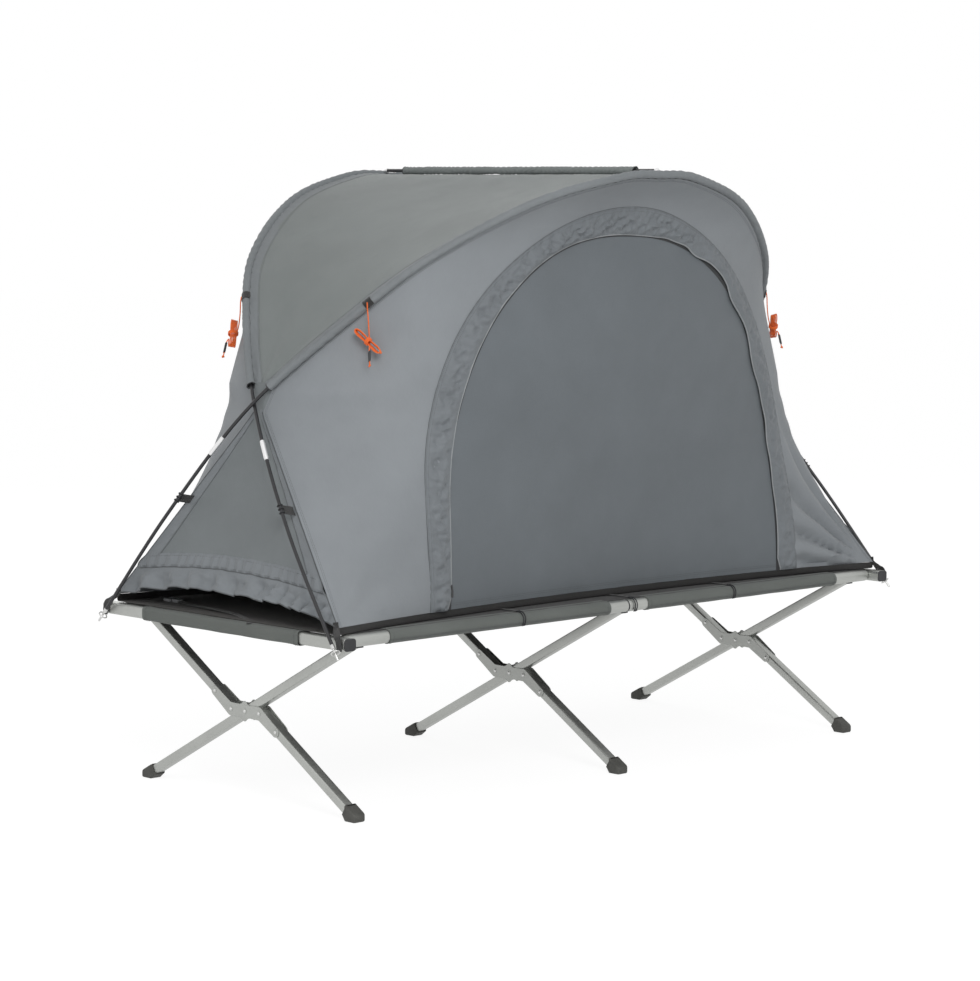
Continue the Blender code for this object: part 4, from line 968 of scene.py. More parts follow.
def leg(name, x, start, end, body, node):
    """One leg tube in the plane of its leg set, from a (y, z) start to its end."""
    outer = rounded_rectangle(LEG_WIDTH, LEG_DEPTH, LEG_CHAMFER * 1.2, 4)
    inner = rounded_rectangle(LEG_WIDTH - 2 * LEG_WALL, LEG_DEPTH - 2 * LEG_WALL, LEG_CHAMFER * 0.7, 4)
    obj = extrusion(name, [outer, inner], (x, *start), (x, *end), (1, 0, 0), "aluminium", body)
    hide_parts(node)


def legs():
    """In each leg set one straight leg, and the upper and lower half of the split one."""
    dy, dz = HALF_DIR
    for end, x in LEG_SETS:
        top = (-RAIL_Y + RISE[0] * LEG_TOP, RAIL_Z - RISE[1] * LEG_TOP)
        foot = ((HUB_Z - LEG_END_Z) * RISE[0] / RISE[1], LEG_END_Z)
        leg(f"straight_tube_{end}", x, top, foot, "straight_legs", f"straight_leg_{end}")
        near = (HUB_RIVET_Y - dy * LEG_PAST_RIVET, HUB_Z - dz * LEG_PAST_RIVET)
        leg(f"upper_tube_{end}", x, near, (RAIL_Y - dy * LEG_TOP, RAIL_Z - dz * LEG_TOP), "split_legs",
            f"upper_leg_{end}")
        near = (-HUB_RIVET_Y + dy * LEG_PAST_RIVET, HUB_Z + dz * LEG_PAST_RIVET)
        far = (-HUB_RIVET_Y - (HUB_Z - LEG_END_Z) * dy / dz, LEG_END_Z)
        leg(f"lower_tube_{end}", x, near, far, "split_legs", f"lower_leg_{end}")


def arc(centre, radius, start, end, steps):
    """Points along an arc from a start angle to an end angle."""
    return [(centre[0] + radius * math.cos(start + (end - start) * i / steps),
             centre[1] + radius * math.sin(start + (end - start) * i / steps)) for i in range(steps + 1)]


def hub_outline():
    """The stamped plate: a bar with a rounded bump over and under the pivot, and an arm on each leg half."""
    tilt = math.atan2(HALF_DIR[1], HALF_DIR[0])
    arm = (HUB_RIVET_Y + HALF_DIR[0] * HUB_ARM, HALF_DIR[1] * HUB_ARM)
    half = arc(arm, 0.0120, tilt - math.pi / 2, tilt + math.pi / 2, 16)
    half += [(HUB_RIVET_Y, 0.0160), (0.036, 0.0156), (0.019, 0.0152), (0.0135, 0.0163)]
    half += arc((0, 0.0145), 0.0095, math.radians(30), math.radians(150), 12)
    half += [(-0.0135, 0.0163), (-0.019, 0.0152), (-0.034, 0.0158)]
    half += arc((-HUB_RIVET_Y, 0), 0.0160, math.radians(95), tilt + math.pi / 2, 6)
    return half + [(-u, -v) for u, v in half]


def add_rivet(bm, x, y, z, half, shade, sides=20):
    """A domed rivet along X, a head on each side of what it holds."""
    profile = [(half + 0.0022, 0.0), (half + 0.0021, 0.0014), (half + 0.0016, 0.0028), (half + 0.0009, 0.0038),
               (half + 0.0003, 0.0042), (half - 0.0004, 0.0030)]
    profile += [(-h, r) for h, r in reversed(profile)]
    rings = []
    for h, r in profile:
        if r == 0.0:
            rings.append([bm.verts.new((x + h, y, z))])
        else:
            rings.append([bm.verts.new((x + h, y + r * math.cos(2 * math.pi * k / sides),
                                        z + r * math.sin(2 * math.pi * k / sides))) for k in range(sides)])
    for low, high in zip(rings, rings[1:]):
        for k in range(sides):
            j = (k + 1) % sides
            if len(low) == 1:
                face = (low[0], high[j], high[k])
            elif len(high) == 1:
                face = (low[k], low[j], high[0])
            else:
                face = (low[k], low[j], high[j], high[k])
            bm.faces.new(face).material_index = shade


def add_plate(bm, loop, x_low, x_high, y, z, shade=0, edge=0.0005):
    """A flat stamped plate in the plane of its leg set, its edges slightly rounded."""
    rings = []
    for x, inset in ((x_low, edge), (x_low + edge, 0.0), (x_high - edge, 0.0), (x_high, edge)):
        ring = []
        for k, (u, v) in enumerate(loop):
            before, after = Vector(loop[k - 1]), Vector(loop[(k + 1) % len(loop)])
            along_edge = (after - before).normalized()
            normal = Vector((along_edge.y, -along_edge.x))
            spot = Vector((u, v)) - normal * inset
            ring.append(bm.verts.new((x, y + spot.x, z + spot.y)))
        rings.append(ring)
    skin(bm, rings, shade)


def hubs():
    """Two stamped plates at each hub and five rivets through them, each on a washer."""
    arm = (HUB_RIVET_Y + HALF_DIR[0] * HUB_ARM, HALF_DIR[1] * HUB_ARM)
    spots = [(0, 0), (HUB_RIVET_Y, 0), (-HUB_RIVET_Y, 0), arm, (-arm[0], -arm[1])]
    near = LEG_WIDTH / 2 + GAP
    for end, x in LEG_SETS:
        bm = new_bm()
        for side in (-1, 1):
            low, high = sorted((x + side * near, x + side * (near + PLATE_T)))
            add_plate(bm, hub_outline(), low, high, 0, HUB_Z)
        plates = finish_bmesh(f"hub_plates_{end}", bm, ["plate"], "split_legs", 30)
        bm = new_bm()
        for y, z in spots:
            add_rivet(bm, x, y, HUB_Z + z, near + PLATE_T, 1)
            for side in (-1, 1):
                base = x + side * (near + PLATE_T)
                low, high = sorted((base, base + side * 0.0005))
                add_plate(bm, circle(WASHER_R, 28), low, high, y, HUB_Z + z, 0, 0.0001)
        pins = finish_bmesh(f"hub_rivets_{end}", bm, ["plate", "steel"], "split_legs", 40)
        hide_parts(f"hub_{end}")
        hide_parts(f"hub_{end}")


def saddles():
    """Saddles under the rails: a wrap round the tube, and a stem that is riveted inside the leg's end."""
    inner, outer = RAIL_R + GAP, RAIL_R + GAP + SADDLE_T
    width = LEG_DEPTH - 2 * LEG_WALL - 2 * GAP
    half = math.asin(width / 2 / outer)
    loop = arc((0, 0), inner, SADDLE_WRAP, -SADDLE_WRAP, 24)
    loop += arc((0, 0), outer, -SADDLE_WRAP, -half, 8)
    loop += [(LEG_TOP + SADDLE_STEM, -width / 2), (LEG_TOP + SADDLE_STEM, width / 2)]
    loop += arc((0, 0), outer, half, SADDLE_WRAP, 8)
    for side, sign, (dy, dz), body in (("front", 1, RISE, "straight_legs"),
                                       ("back", -1, HALF_DIR, "split_legs")):
        for end, x in LEG_SETS:
            turn = math.atan2(-dz, sign * dy)
            placed = [(u * math.cos(turn) - v * math.sin(turn), u * math.sin(turn) + v * math.cos(turn))
                      for u, v in loop]
            bm = new_bm()
            add_plate(bm, placed, x - SADDLE_WIDTH / 2, x + SADDLE_WIDTH / 2, -sign * RAIL_Y, RAIL_Z, 0, 0.0004)
            add_rivet(bm, x, -sign * (RAIL_Y - dy * STEM_RIVET), RAIL_Z - dz * STEM_RIVET,
                      LEG_WIDTH / 2 + GAP, 1)
            obj = finish_bmesh(f"{side}_cradle_{end}", bm, ["plastic", "steel"], body, 35)
            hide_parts(f"{side}_saddle_{end}")


def feet():
    """Moulded feet: a short wedge on a flat sole, whose collar holds the leg's end."""
    for side, toward, y, (dy, dz), body in (("back", 1, FOOT_Y, RISE, "straight_legs"),
                                            ("front", -1, -HALF_FOOT_Y, HALF_DIR, "split_legs")):
        for end, x in LEG_SETS:
            way = Vector((0, -toward * dy, dz))
            up = Vector((0, toward * dz, dy))
            base = Vector((x, y, 0))
            reach = FOOT_TOP / dz
            rise = LEG_DEPTH / 2 + FOOT_WALL
            top_out, top_z = dz * rise - dy * reach, FOOT_TOP + dy * rise
            bm = new_bm()
            rings = []
            spots = [(0.0, FOOT_WIDTH / 2 - FOOT_NOSE, FOOT_WALL), (-0.0015, FOOT_WIDTH / 2 - 0.0045, 0.0014),
                     (-0.004, FOOT_WIDTH / 2 - 0.0014, 0.0003), (-FOOT_NOSE, FOOT_WIDTH / 2, 0.0)]
            spots += [(-FOOT_NOSE - (FOOT_SOLE - FOOT_NOSE) * k / 4, FOOT_WIDTH / 2, 0.0) for k in range(1, 5)]
            for out, half, low in spots:
                high = top_z - (out - top_out) * dz / dy - low / 2
                middle = base + Vector((0, toward * out, (low + high) / 2))
                section = rounded_rectangle(2 * half, high - low, min(0.0045, (high - low) * 0.3), 5)
                rings.append([bm.verts.new(middle + Vector((u, 0, v))) for u, v in section])
            section = rounded_rectangle(LEG_WIDTH + 2 * FOOT_WALL, LEG_DEPTH + 2 * FOOT_WALL, 0.005, 5)
            for at, grow in ((reach - 0.002, 1.0), (reach - 0.0005, 1.0), (reach, 0.97)):
                rings.append([bm.verts.new(base + way * at + Vector((u * grow, 0, 0)) + up * (v * grow))
                              for u, v in section])
            inner = rounded_rectangle(LEG_WIDTH + 0.0006, LEG_DEPTH + 0.0006, LEG_CHAMFER * 1.2, 5)
            for at in (reach, reach - BOOT_SOCKET):
                rings.append([bm.verts.new(base + way * at + Vector((u, 0, 0)) + up * v) for u, v in inner])
            skin(bm, rings)
            obj = finish_bmesh(f"{side}_boot_{end}", bm, ["rubber"], body, 35)
            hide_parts(f"{side}_foot_{end}")


def hem_turns(count, tail=46, top=65):
    """The turns of a hem round its rail, from its tail under the bed cloth back to the cloth."""
    return [math.radians(tail - (tail - top + 360) * k / count) for k in range(count + 1)]


def bed():
    """The bed cloth, black and slightly hollow between the rails."""
    rows, cols = 60, 150
    level = RAIL_Z + HEM_MID
    reach = RAIL_END - GAP
    grid = []
    for r in range(rows + 1):
        y = -RAIL_Y + 2 * RAIL_Y * r / rows
        row = []
        for c in range(cols + 1):
            x = -reach + 2 * reach * c / cols
            inside = max(0.0, 1 - (y / RAIL_Y) ** 2)
            edge = soft(0.0, 0.08, reach - abs(x))
            wrinkle = 0.0011 * noise.noise(Vector((x * 7, y * 16, 3.0))) * inside
            sag = -inside ** 2 * (0.0026 * edge + 0.0010 * (1 - edge) * abs(math.sin(y * 38)))
            row.append((x, y, level - 0.0004 + wrinkle * 0.8 + sag))
        grid.append(row)
    grid = np.array(grid)
    mesh_bed = panel("bed_sheet", grid, ["bed"], None, 0.0010)
    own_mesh(mesh_bed)
    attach(mesh_bed, "front_frame")
    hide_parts("bed_cloth")
    declare(grid)
    for name, side in SIDES:
        for end, sign in ENDS:
            hem(name, side, end, sign, level)


def hem(name, side, end, sign, level):
    """A canvas hem round one half of a rail, its seams across both ends and two rows along its side."""
    y0, body = side * RAIL_Y, f"{name}_frame"
    low, high = sorted((sign * HEM_START, sign * HEM_END))
    count, steps = 40, 110
    grid = []
    for s in range(steps + 1):
        x = low + (high - low) * s / steps
        lip = 0.0004 if min(s, steps - s) / steps < 0.012 else 0.0
        row = []
        for a in hem_turns(count):
            ripple = noise.noise(Vector((math.cos(a) * 0.9, math.sin(a) * 0.9, x * 16 + side)))
            radius = RAIL_R + GAP + 0.0007 + 0.0005 * ripple + lip
            row.append((x, y0 - side * radius * math.cos(a), RAIL_Z + radius * math.sin(a)))
        for inward in (0.004, 0.009, 0.014):
            row.append((x, y0 - side * (RAIL_R * 0.42 + inward), level + 0.0003))
        grid.append(row)
    grid = np.array(grid)
    obj = panel(f"{name}_hem_{end}", grid, ["hem"], body, 0.0008)
    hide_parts("bed_cloth")
    declare(grid)
    for x in (low + HEM_SEAM_INSET, high - HEM_SEAM_INSET):
        path = [(x, y0 - side * (RAIL_R + 0.0016) * math.cos(a), RAIL_Z + (RAIL_R + 0.0016) * math.sin(a))
                for a in hem_turns(36) if math.sin(a) < 0.75]
        stitch(body, path, [(0, p[1] - y0, p[2] - RAIL_Z) for p in path], **COARSE)
    for turn in (20, 30.5):
        out = (RAIL_R + 0.0015) * math.cos(math.radians(turn))
        drop = (RAIL_R + 0.0015) * math.sin(math.radians(turn))
        path = [(low + (high - low) * k / 80, y0 + side * out, RAIL_Z - drop) for k in range(81)]
        stitch(body, path, [(0, side * out, -drop)] * 81, **COARSE)


rails()
end_bars()
bar_sleeves()
legs()
hubs()
saddles()
feet()
bed()


# The tent's cloth
def pucker(run, depth, pitch, reach, slant=0.6, seed=0.0, strength=None):
    """Gathers along a seam: short slanted ridges that die away from it."""
    wob = np.array([noise.noise(Vector((float(a) * 9, seed, 0.5))) for a in run.ravel()]).reshape(run.shape)
    wave = np.sin(2 * np.pi * (run / pitch + slant * depth / pitch + 1.3 * wob))
    size = 0.55 + 0.9 * np.abs(wob)
    if strength is not None:
        size = size * strength
    return (0.5 + 0.5 * wave) * size * np.exp(-(depth / reach) ** 2)


SEAM_BAND = 0.030
ROOF_ROWS, ROOF_COLUMNS = 210, 72
SLEEVE_STEPS, POLE_STEPS, ZIP_STEPS = 300, 420, 180
EYELET_R, EYELET_IN, EYELET_DROP = 0.0085, 0.0165, 0.0055
ROOF_SLEEVE_CUT = 0.085


def roof():
    """The roof: a saddle between the arches, straight over the roof pole, with gathered seam bands."""
    front, back = (resample(SEAMS[side][0], ROOF_ROWS) for side in (-1, 1))
    grid = np.zeros((ROOF_ROWS + 1, ROOF_COLUMNS + 1, 3))
    for i, (a, b) in enumerate(zip(front, back)):
        height = min(1.0, max(0.0, (a.z - CROSS_Z) / (ARCH_Z - CROSS_Z)))
        away = 1 - math.exp(-(a.x / 0.20) ** 2)
        for k in range(ROOF_COLUMNS + 1):
            t = k / ROOF_COLUMNS
            dip = 4 * t * (1 - t) * ROOF_SAG * height * away
            inward = -math.copysign(dip * 0.8, a.x) if a.x else 0.0
            grid[i, k] = a.lerp(b, t) + Vector((inward, 0, -dip))
    n = normals_of(grid, (0, 0, 1))
    width = along(grid, 1)
    depth = np.minimum(width, width[:, [-1]] - width)
    run = along(grid, 0)
    amount = 0.0032 * pucker(run, depth, 0.024, 0.026, 0.7, 2.0)
    amount += 0.0016 * clouds(grid, 3.2, 1) * soft(0.0, 0.05, depth)
    tight = np.exp(-((np.abs(grid[:, :, 0]) - 0.83) / 0.22) ** 2)
    amount += 0.0022 * tight * np.sin(width / np.maximum(width[:, [-1]], 0.02) * math.pi * 5 + 0.6) \
        * soft(0.0, 0.04, depth)
    centre = np.exp(-(grid[:, :, 0] / 0.10) ** 2)
    amount += 0.0014 * centre * (0.5 + 0.5 * np.sin(grid[:, :, 1] * 95 + 2 * clouds(grid, 8, 5)))
    amount -= 0.0012 * np.exp(-((depth - SEAM_BAND) / 0.004) ** 2)
    grid = grid + n * amount[..., None]
    pick = (depth < SEAM_BAND).astype(int)
    obj = panel("roof_cloth_panel", grid, ["roof", "sleeve"], "tent", pick=pick)
    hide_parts("roof_panel")
    declare(grid)
    seam_rows(grid, n, depth, SEAM_BAND, "tent")


def seam_rows(grid, n, depth, at, body, offset=0.0035):
    """Twin stitch rows where a depth from the edges is crossed, followed along the rows of a grid."""
    half = grid.shape[1] // 2
    for cols in (range(0, half), range(grid.shape[1] - 1, half, -1)):
        cols = list(cols)
        for extra in (0.0, offset):
            path, ups = [], []
            for i in range(grid.shape[0]):
                d = depth[i, cols]
                k = int(np.searchsorted(d, at - extra))
                if 0 < k < len(d):
                    t = (at - extra - d[k - 1]) / max(d[k] - d[k - 1], 1e-9)
                    a, b = grid[i, cols[k - 1]], grid[i, cols[k]]
                    path.append(a + (b - a) * t)
                    ups.append(n[i, cols[k]])
            if len(path) > 4:
                stitch(body, path, ups)


def sleeves():
    """Cloth sleeves over the arches: gathered tubes with a seam fin to the roof and to the wall."""
    around = 40
    for name, side in SIDES:
        run = resample(clip_ends(arch_part(side, FINE), SLEEVE_CUT), SLEEVE_STEPS)
        lengths = distances(run)
        middle = Vector((0, ARCH_Y * side * 0.5, CROSS_Z))
        grid = np.zeros((len(run), around + 1, 3))
        edges = {"wall": [], "roof": []}
        for i, (point, tangent) in enumerate(zip(run, tangents(run))):
            wall = square(middle - point, tangent)
            over = tangent.cross(wall)
            roof_way = square(Vector((0, -side, -0.15)), tangent)
            roof_turn = math.atan2(roof_way.dot(over), roof_way.dot(wall))
            end = min(lengths[i], lengths[-1] - lengths[i])
            flare = 0.0012 * math.exp(-(end / 0.012) ** 2)
            for k in range(around + 1):
                a = 2 * math.pi * k / around
                fin = 0.0
                for at in (0.0, roof_turn):
                    off = (a - at + math.pi) % (2 * math.pi) - math.pi
                    fin += 0.0011 * math.exp(-(off / 0.16) ** 2)
                wob = noise.noise(Vector((lengths[i] * 11, a * 0.8, side * 4.0)))
                gather = math.sin(2 * math.pi * (lengths[i] / 0.027 + 0.18 * math.sin(a) + 1.1 * wob))
                radius = SLEEVE_R - 0.0010 + fin + flare + 0.0008 * gather + 0.0005 * wob
                grid[i, k] = point + (wall * math.cos(a) + over * math.sin(a)) * radius
            edges["wall"].append((point + wall * (SLEEVE_R + 0.0008), -over))
            edges["roof"].append((point + roof_way * (SLEEVE_R + 0.0008), over))
        obj = panel(f"{name}_sleeve_cloth", grid, ["sleeve"], "tent", 0.0008)
        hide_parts(f"{name}_arch_sleeve")
        declare(grid)
        bindings(f"{name}_sleeve_bindings", grid, 0.0013)
        bm = new_bm()
        for key in edges:
            add_tube(bm, [p for p, _ in edges[key]], [0.0010] * len(run), 6)
        finish_bmesh(f"{name}_sleeve_seams", bm, ["dark"], "tent")
        routes = []
        for sign in (-1, 1):
            centre, tangent, down, out = shoulder(side, sign)
            wallward = square(down, tangent)
            turns = [math.radians(-150 + 215 * k / 26) for k in range(27)]
            ways = [out * math.cos(a) + wallward * math.sin(a) for a in turns]
            routes.append([(centre + way * (SLEEVE_R + 0.0011), tangent) for way in ways])
        band = strap(f"{name}_guy_straps", routes, STRAP_WIDTH, STRAP_T, "webbing", "tent")
        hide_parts(f"{name}_arch_sleeve")


def roof_pole():
    """The short cross pole: a bare rod with metal ends in eyelets, and its gathered sleeve."""
    z = ARCH_Z + ROOF_POLE_Z
    half = ARCH_Y - SLEEVE_R - 0.010 + GAP
    rod = tube("roof_pole_rod", [Vector((0, -half + 2 * half * k / 12, z)) for k in range(13)], POLE_R, "pole",
               "tent", 20)
    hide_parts("roof_pole")
    bm = new_bm()
    for sign in (-1, 1):
        profile = [(0.0, 0.0052), (0.0015, 0.0060), (0.007, 0.0060), (0.009, 0.0048), (0.0100, 0.0022)]
        add_tube(bm, [Vector((0, sign * (half + a), z)) for a, _ in profile], [r for _, r in profile], 20)
        eyelet = Vector((0, sign * (half - EYELET_IN), z - EYELET_DROP))
        ring = [eyelet + Vector((u, v, 0)) for u, v in circle(EYELET_R, 24)]
        add_tube(bm, ring, [0.0013] * 24, 8, closed=True)
    knobs = finish_bmesh("roof_pole_ends", bm, ["ferrule"], "tent", 35)
    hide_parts("roof_pole")
    reach = ARCH_Y - ROOF_SLEEVE_CUT
    rows, around = 240, 36
    grid = np.zeros((rows + 1, around + 1, 3))
    for i in range(rows + 1):
        y = -reach + 2 * reach * i / rows
        end = min(i, rows - i) / rows
        for k in range(around + 1):
            a = 2 * math.pi * k / around
            wob = noise.noise(Vector((y * 18, math.cos(a) * 0.7, math.sin(a) * 0.7)))
            gather = math.sin(2 * math.pi * (y / 0.017 + 0.25 * math.sin(a) + 1.4 * wob))
            radius = 0.0089 + 0.0007 * gather + 0.0008 * wob + 0.0009 * math.exp(-(end / 0.006) ** 2)
            grid[i, k] = (radius * math.cos(a), y, z + radius * math.sin(a))
    obj = panel("roof_pole_cloth", grid, ["roof"], "tent", 0.0008)
    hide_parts("roof_pole_sleeve")
    declare(grid)
    bindings("roof_pole_bindings", grid, 0.0012)


WALL_COLUMNS = WALL_TURN * 9
EDGES = {side: resample(wall_bound(side), WALL_COLUMNS) for side in (-1, 1)}
SHIFTS = {side: [edge - wall_point(side, edge.x, edge.z) for edge in EDGES[side]] for side in (-1, 1)}


def wall_at(side, i, r):
    """The wall's base surface on spoke i, r from 0 at the doorway to 1 at the wall's edge."""
    outer = EDGES[side][i]
    x, z = door_edge(math.pi * i / WALL_COLUMNS)
    seam = FLAP_OVER / math.hypot(outer.x - x, outer.z - z)
    place = wall_point(side, x + (outer.x - x) * r, z + (outer.z - z) * r)
    k = min(1.0, max(0.0, (r - seam) / (1 - seam)))
    return place + SHIFTS[side][i] * (k * k)


def corner_folds(grid):
    """Long soft folds that run up from each lower corner, and down from each pole crossing."""
    total = np.zeros(grid.shape[:2])
    x, z = grid[:, :, 0], grid[:, :, 2]
    for sign in (-1, 1):
        dx, dz = (sign * WALL_CORNER_X - x) * sign, z - SILL_Z
        far = np.hypot(dx, dz) + 1e-6
        turn = np.arctan2(dz, dx)
        rows = 19.0 if sign > 0 else 11.0
        size = 0.0130 if sign > 0 else 0.0026
        wave = np.sin(turn * rows + 2.2 * clouds(grid, 2.2, 11 + sign))
        wave = wave - 0.45 * wave * wave if sign > 0 else wave
        total += size * wave * soft(0.02, 0.12, far) * (1 - soft(0.34, 0.66, far))
        dx, dz = (sign * SEAM_TOP_X - x) * sign, SEAM_TOP_Z - z
        far = np.hypot(dx, dz) + 1e-6
        turn = np.arctan2(dz, dx)
        wave = np.sin(turn * 9 + 1.7 * clouds(grid, 2.6, 21 + sign))
        total += 0.0010 * wave * soft(0.02, 0.12, far) * (1 - soft(0.20, 0.45, far))
    return total


def walls():
    """Both long walls round their D-shaped doorways."""
    rows = 60
    for name, side in SIDES:
        grid = np.zeros((rows + 1, WALL_COLUMNS + 1, 3))
        for j in range(rows + 1):
            r = (j / rows) ** 1.15
            for i in range(WALL_COLUMNS + 1):
                grid[j, i] = wall_at(side, i, r)
        n = normals_of(grid, (0, side, 0.0))
        run = along(grid, 1)
        reach = along(grid, 0)
        depth = reach[-1] - reach
        free = soft(0.0, 0.05, depth) * soft(0.03, 0.10, reach)
        amount = 0.0018 * clouds(grid, 2.6, 3 + side) * free
        amount += corner_folds(grid) * free
        top = soft(CROSS_Z, CROSS_Z + 0.2, grid[:, :, 2])
        amount += 0.0016 * pucker(run, depth, 0.034, 0.022, 0.5, 3.0, strength=0.12 + 0.88 * top)
        amount += 0.0006 * pucker(run, np.abs(reach - FLAP_OVER), 0.045, 0.020, 0.3, 5.0)
        grid = grid + n * amount[..., None]
        obj = panel(f"{name}_wall_cloth", grid, ["wall"], "tent")
        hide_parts(f"{name}_wall")
        declare(grid)
        for at in (0.007, 0.011):
            stitch("tent", *line_across(grid, n, -depth, -at))


def flaps():
    """The storm flaps beside the zips: sewn along their outer edge, piped and free along the inner one."""
    rows = 16
    for name, side in SIDES:
        base = np.zeros((rows + 1, WALL_COLUMNS + 1, 3))
        share = np.zeros((rows + 1, WALL_COLUMNS + 1))
        for i in range(WALL_COLUMNS + 1):
            outer = EDGES[side][i]
            x, z = door_edge(math.pi * i / WALL_COLUMNS)
            span = math.hypot(outer.x - x, outer.z - z)
            slack = soft(0.05, 0.16, i / WALL_COLUMNS) * (1 - soft(0.36, 0.46, i / WALL_COLUMNS))
            drift = 0.0300 * noise.noise(Vector((i * 0.105, side * 2.0, 0.7))) * (0.07 + slack)
            start = -0.005 - 0.004 * slack + drift + 0.011 * max(0.0, 1 - min(i, WALL_COLUMNS - i) / 3)
            for j in range(rows + 1):
                v = j / rows
                share[j, i] = v
                base[j, i] = wall_at(side, i, (start + (FLAP_OVER - start) * v) / span)
        base, share = finer(base, 3), finer(share, 3)
        n = normals_of(base, (0, side, 0.0))
        run = along(base, 1)
        u = np.arange(base.shape[1]) / (base.shape[1] - 1)
        slack = (soft(0.05, 0.16, u) * (1 - soft(0.36, 0.46, u)))[None, :]
        crown = np.exp(-((u - 0.52) / 0.13) ** 2)[None, :]
        puff = np.sin(np.pi * np.clip(share, 0, 1) ** 0.8)
        wave = clouds(base, 17, 31 + side)
        fine = clouds(base, 42, 41 + side)
        crease = 1 - 2.2 * np.abs(clouds(base, 24, 35 + side))
        tight = 0.5 + 0.5 * soft(0.30, 0.44, u)[None, :]
        amount = 0.0026 + 0.0040 * puff + puff * tight * (0.0075 * wave + 0.0046 * fine + 0.0066 * crease)
        gathers = np.sin(run * 2 * np.pi / 0.052 + share * 3.4)
        amount += crown * puff * (0.0105 * np.abs(clouds(base, 15, 51)) + 0.0034 * gathers)
        amount += (1 - share) ** 2 * (0.0012 + 0.0040 * slack * (0.6 + 0.7 * np.abs(clouds(base, 6, 61))))
        amount += 0.0036 * pucker(run, (1 - share) * FLAP_OVER, 0.026, 0.026, 0.8, 7.0)
        amount *= 1 - 0.75 * np.exp(-((share - 1.0) / 0.05) ** 2)
        low = soft(0.0, 0.01, base[:, :, 2] - SILL_Z + 0.004)
        grid = base + n * (amount * (0.35 + 0.65 * low))[..., None]
        # The flap is the wall's cloth made darker: painted shade for the light that the doubled flap keeps out
        obj = panel(f"{name}_flap_cloth_painted_shade", grid, ["flap"], "tent", 0.0010)
        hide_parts(f"{name}_storm_flap")
        declare(grid)
        tube(f"{name}_flap_piping", [vec(p) for p in grid[0]], 0.0017, "piping", "tent", 8)
        for at in (0.90, 0.965):
            j = int(at * rows)
            t = at * rows - j
            stitch("tent", grid[j] * (1 - t) + grid[j + 1] * t, n[j])
        # A dark tube along the flap's outer seam: a real seam ridge whose dark tone is painted groove shade
        outer = grid[-1] + n[-1] * 0.0004
        tube(f"{name}_flap_seam", [vec(p) for p in outer], 0.0008, "seam", "tent", 6)


def beside_zip(side, inset, out, lift):
    """A line along the door's edge at an inset from it, out from the wall and not below the sill plus lift."""
    line = []
    for k in range(ZIP_STEPS + 1):
        x, z = door_edge(math.pi * k / ZIP_STEPS, inset)
        line.append(wall_point(side, x, max(z, SILL_Z + lift)) + Vector((0, side * out, 0)))
    return line


def doors():
    """The D-shaped doors, taut and only slightly creased, with their half of the zip."""
    rows, cols = 96, 96
    for name, side in SIDES:
        body = f"{name}_door"
        grid = np.zeros((rows + 1, cols + 1, 3))
        for j in range(rows + 1):
            phi = math.radians(89.6) * j / rows
            right, z = door_edge(phi, -DOOR_GAP)
            left = door_edge(math.pi - phi, -DOOR_GAP)[0]
            for i in range(cols + 1):
                grid[j, i] = wall_point(side, left + (right - left) * i / cols, max(z, SILL_Z))
        n = normals_of(grid, (0, side, 0.0))
        x, z = grid[:, :, 0], grid[:, :, 2]
        over, up = x / DOOR_HALF, (z - SILL_Z) / DOOR_HEIGHT
        inside = np.clip(1 - (over ** 2 + up ** 2) / np.vectorize(door_reach)(np.arctan2(up, over)) ** 2, 0, 1)
        free = soft(0.0, 0.16, inside) * soft(0.0, 0.05, z - SILL_Z)
        amount = 0.0028 * clouds(grid, 1.7, 71 + side, 2) * free
        amount += 0.0009 * np.sin((x * 0.7 + z) * 26 + 2.5 * clouds(grid, 2, 75)) * free \
            * soft(0.35, 0.0, inside)
        amount += 0.0008 * np.sin(x * 58 + 3 * clouds(grid, 5, 77)) * np.exp(-((z - SILL_Z) / 0.035) ** 2)
        grid = grid + n * amount[..., None]
        obj = panel(f"{name}_door_cloth", grid, ["door"], body, 0.0009)
        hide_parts(f"{name}_door")
        declare(grid)
        for at in (0.010, 0.0145):
            stitch(body, *line_across(grid, n, grid[:, :, 2] - SILL_Z, at))
        tube(f"{name}_door_coil", beside_zip(side, -0.0022, 0.0013, 0.0), 0.0013, "zip", body, 8)
        for kind, insets, out, holder in (("door", (-0.0012, -0.0055, -0.0095), 0.0012, body),
                                          ("zip", (0.0003, 0.004, 0.0085), 0.0011, "tent")):
            tape = [beside_zip(side, inset, out, 0.0004) for inset in insets]
            panel(f"{name}_{kind}_tape", np.array(tape), ["dark"], holder, 0.0005)
        spot = wall_point(side, *door_edge(math.radians(176.5), -0.004))
        out = Vector((0, side, 0.1)).normalized()
        bm = new_bm()
        base = spot + out * 0.0045
        slider = [base + Vector((0, 0, z)) for z in (-0.004, 0.008)]
        pull = [base + out * off + Vector((x, 0, z))
                for off, x, z in ((0.0030, 0, 0.004), (0.0042, 0.001, -0.008), (0.0030, 0.002, -0.022))]
        add_strap(bm, [(p, (1, 0, 0)) for p in slider], 0.009, 0.0044)
        add_strap(bm, [(p, (1, 0, 0)) for p in pull], 0.0055, 0.0015)
        finish_bmesh(f"{name}_zip_pull", bm, ["zip"], body, 40)


HEM_LOW, HEM_HIGH = 0.150, 0.222
SKIRT_LIFT = 0.011  # the loose skirt is drawn up between the corners


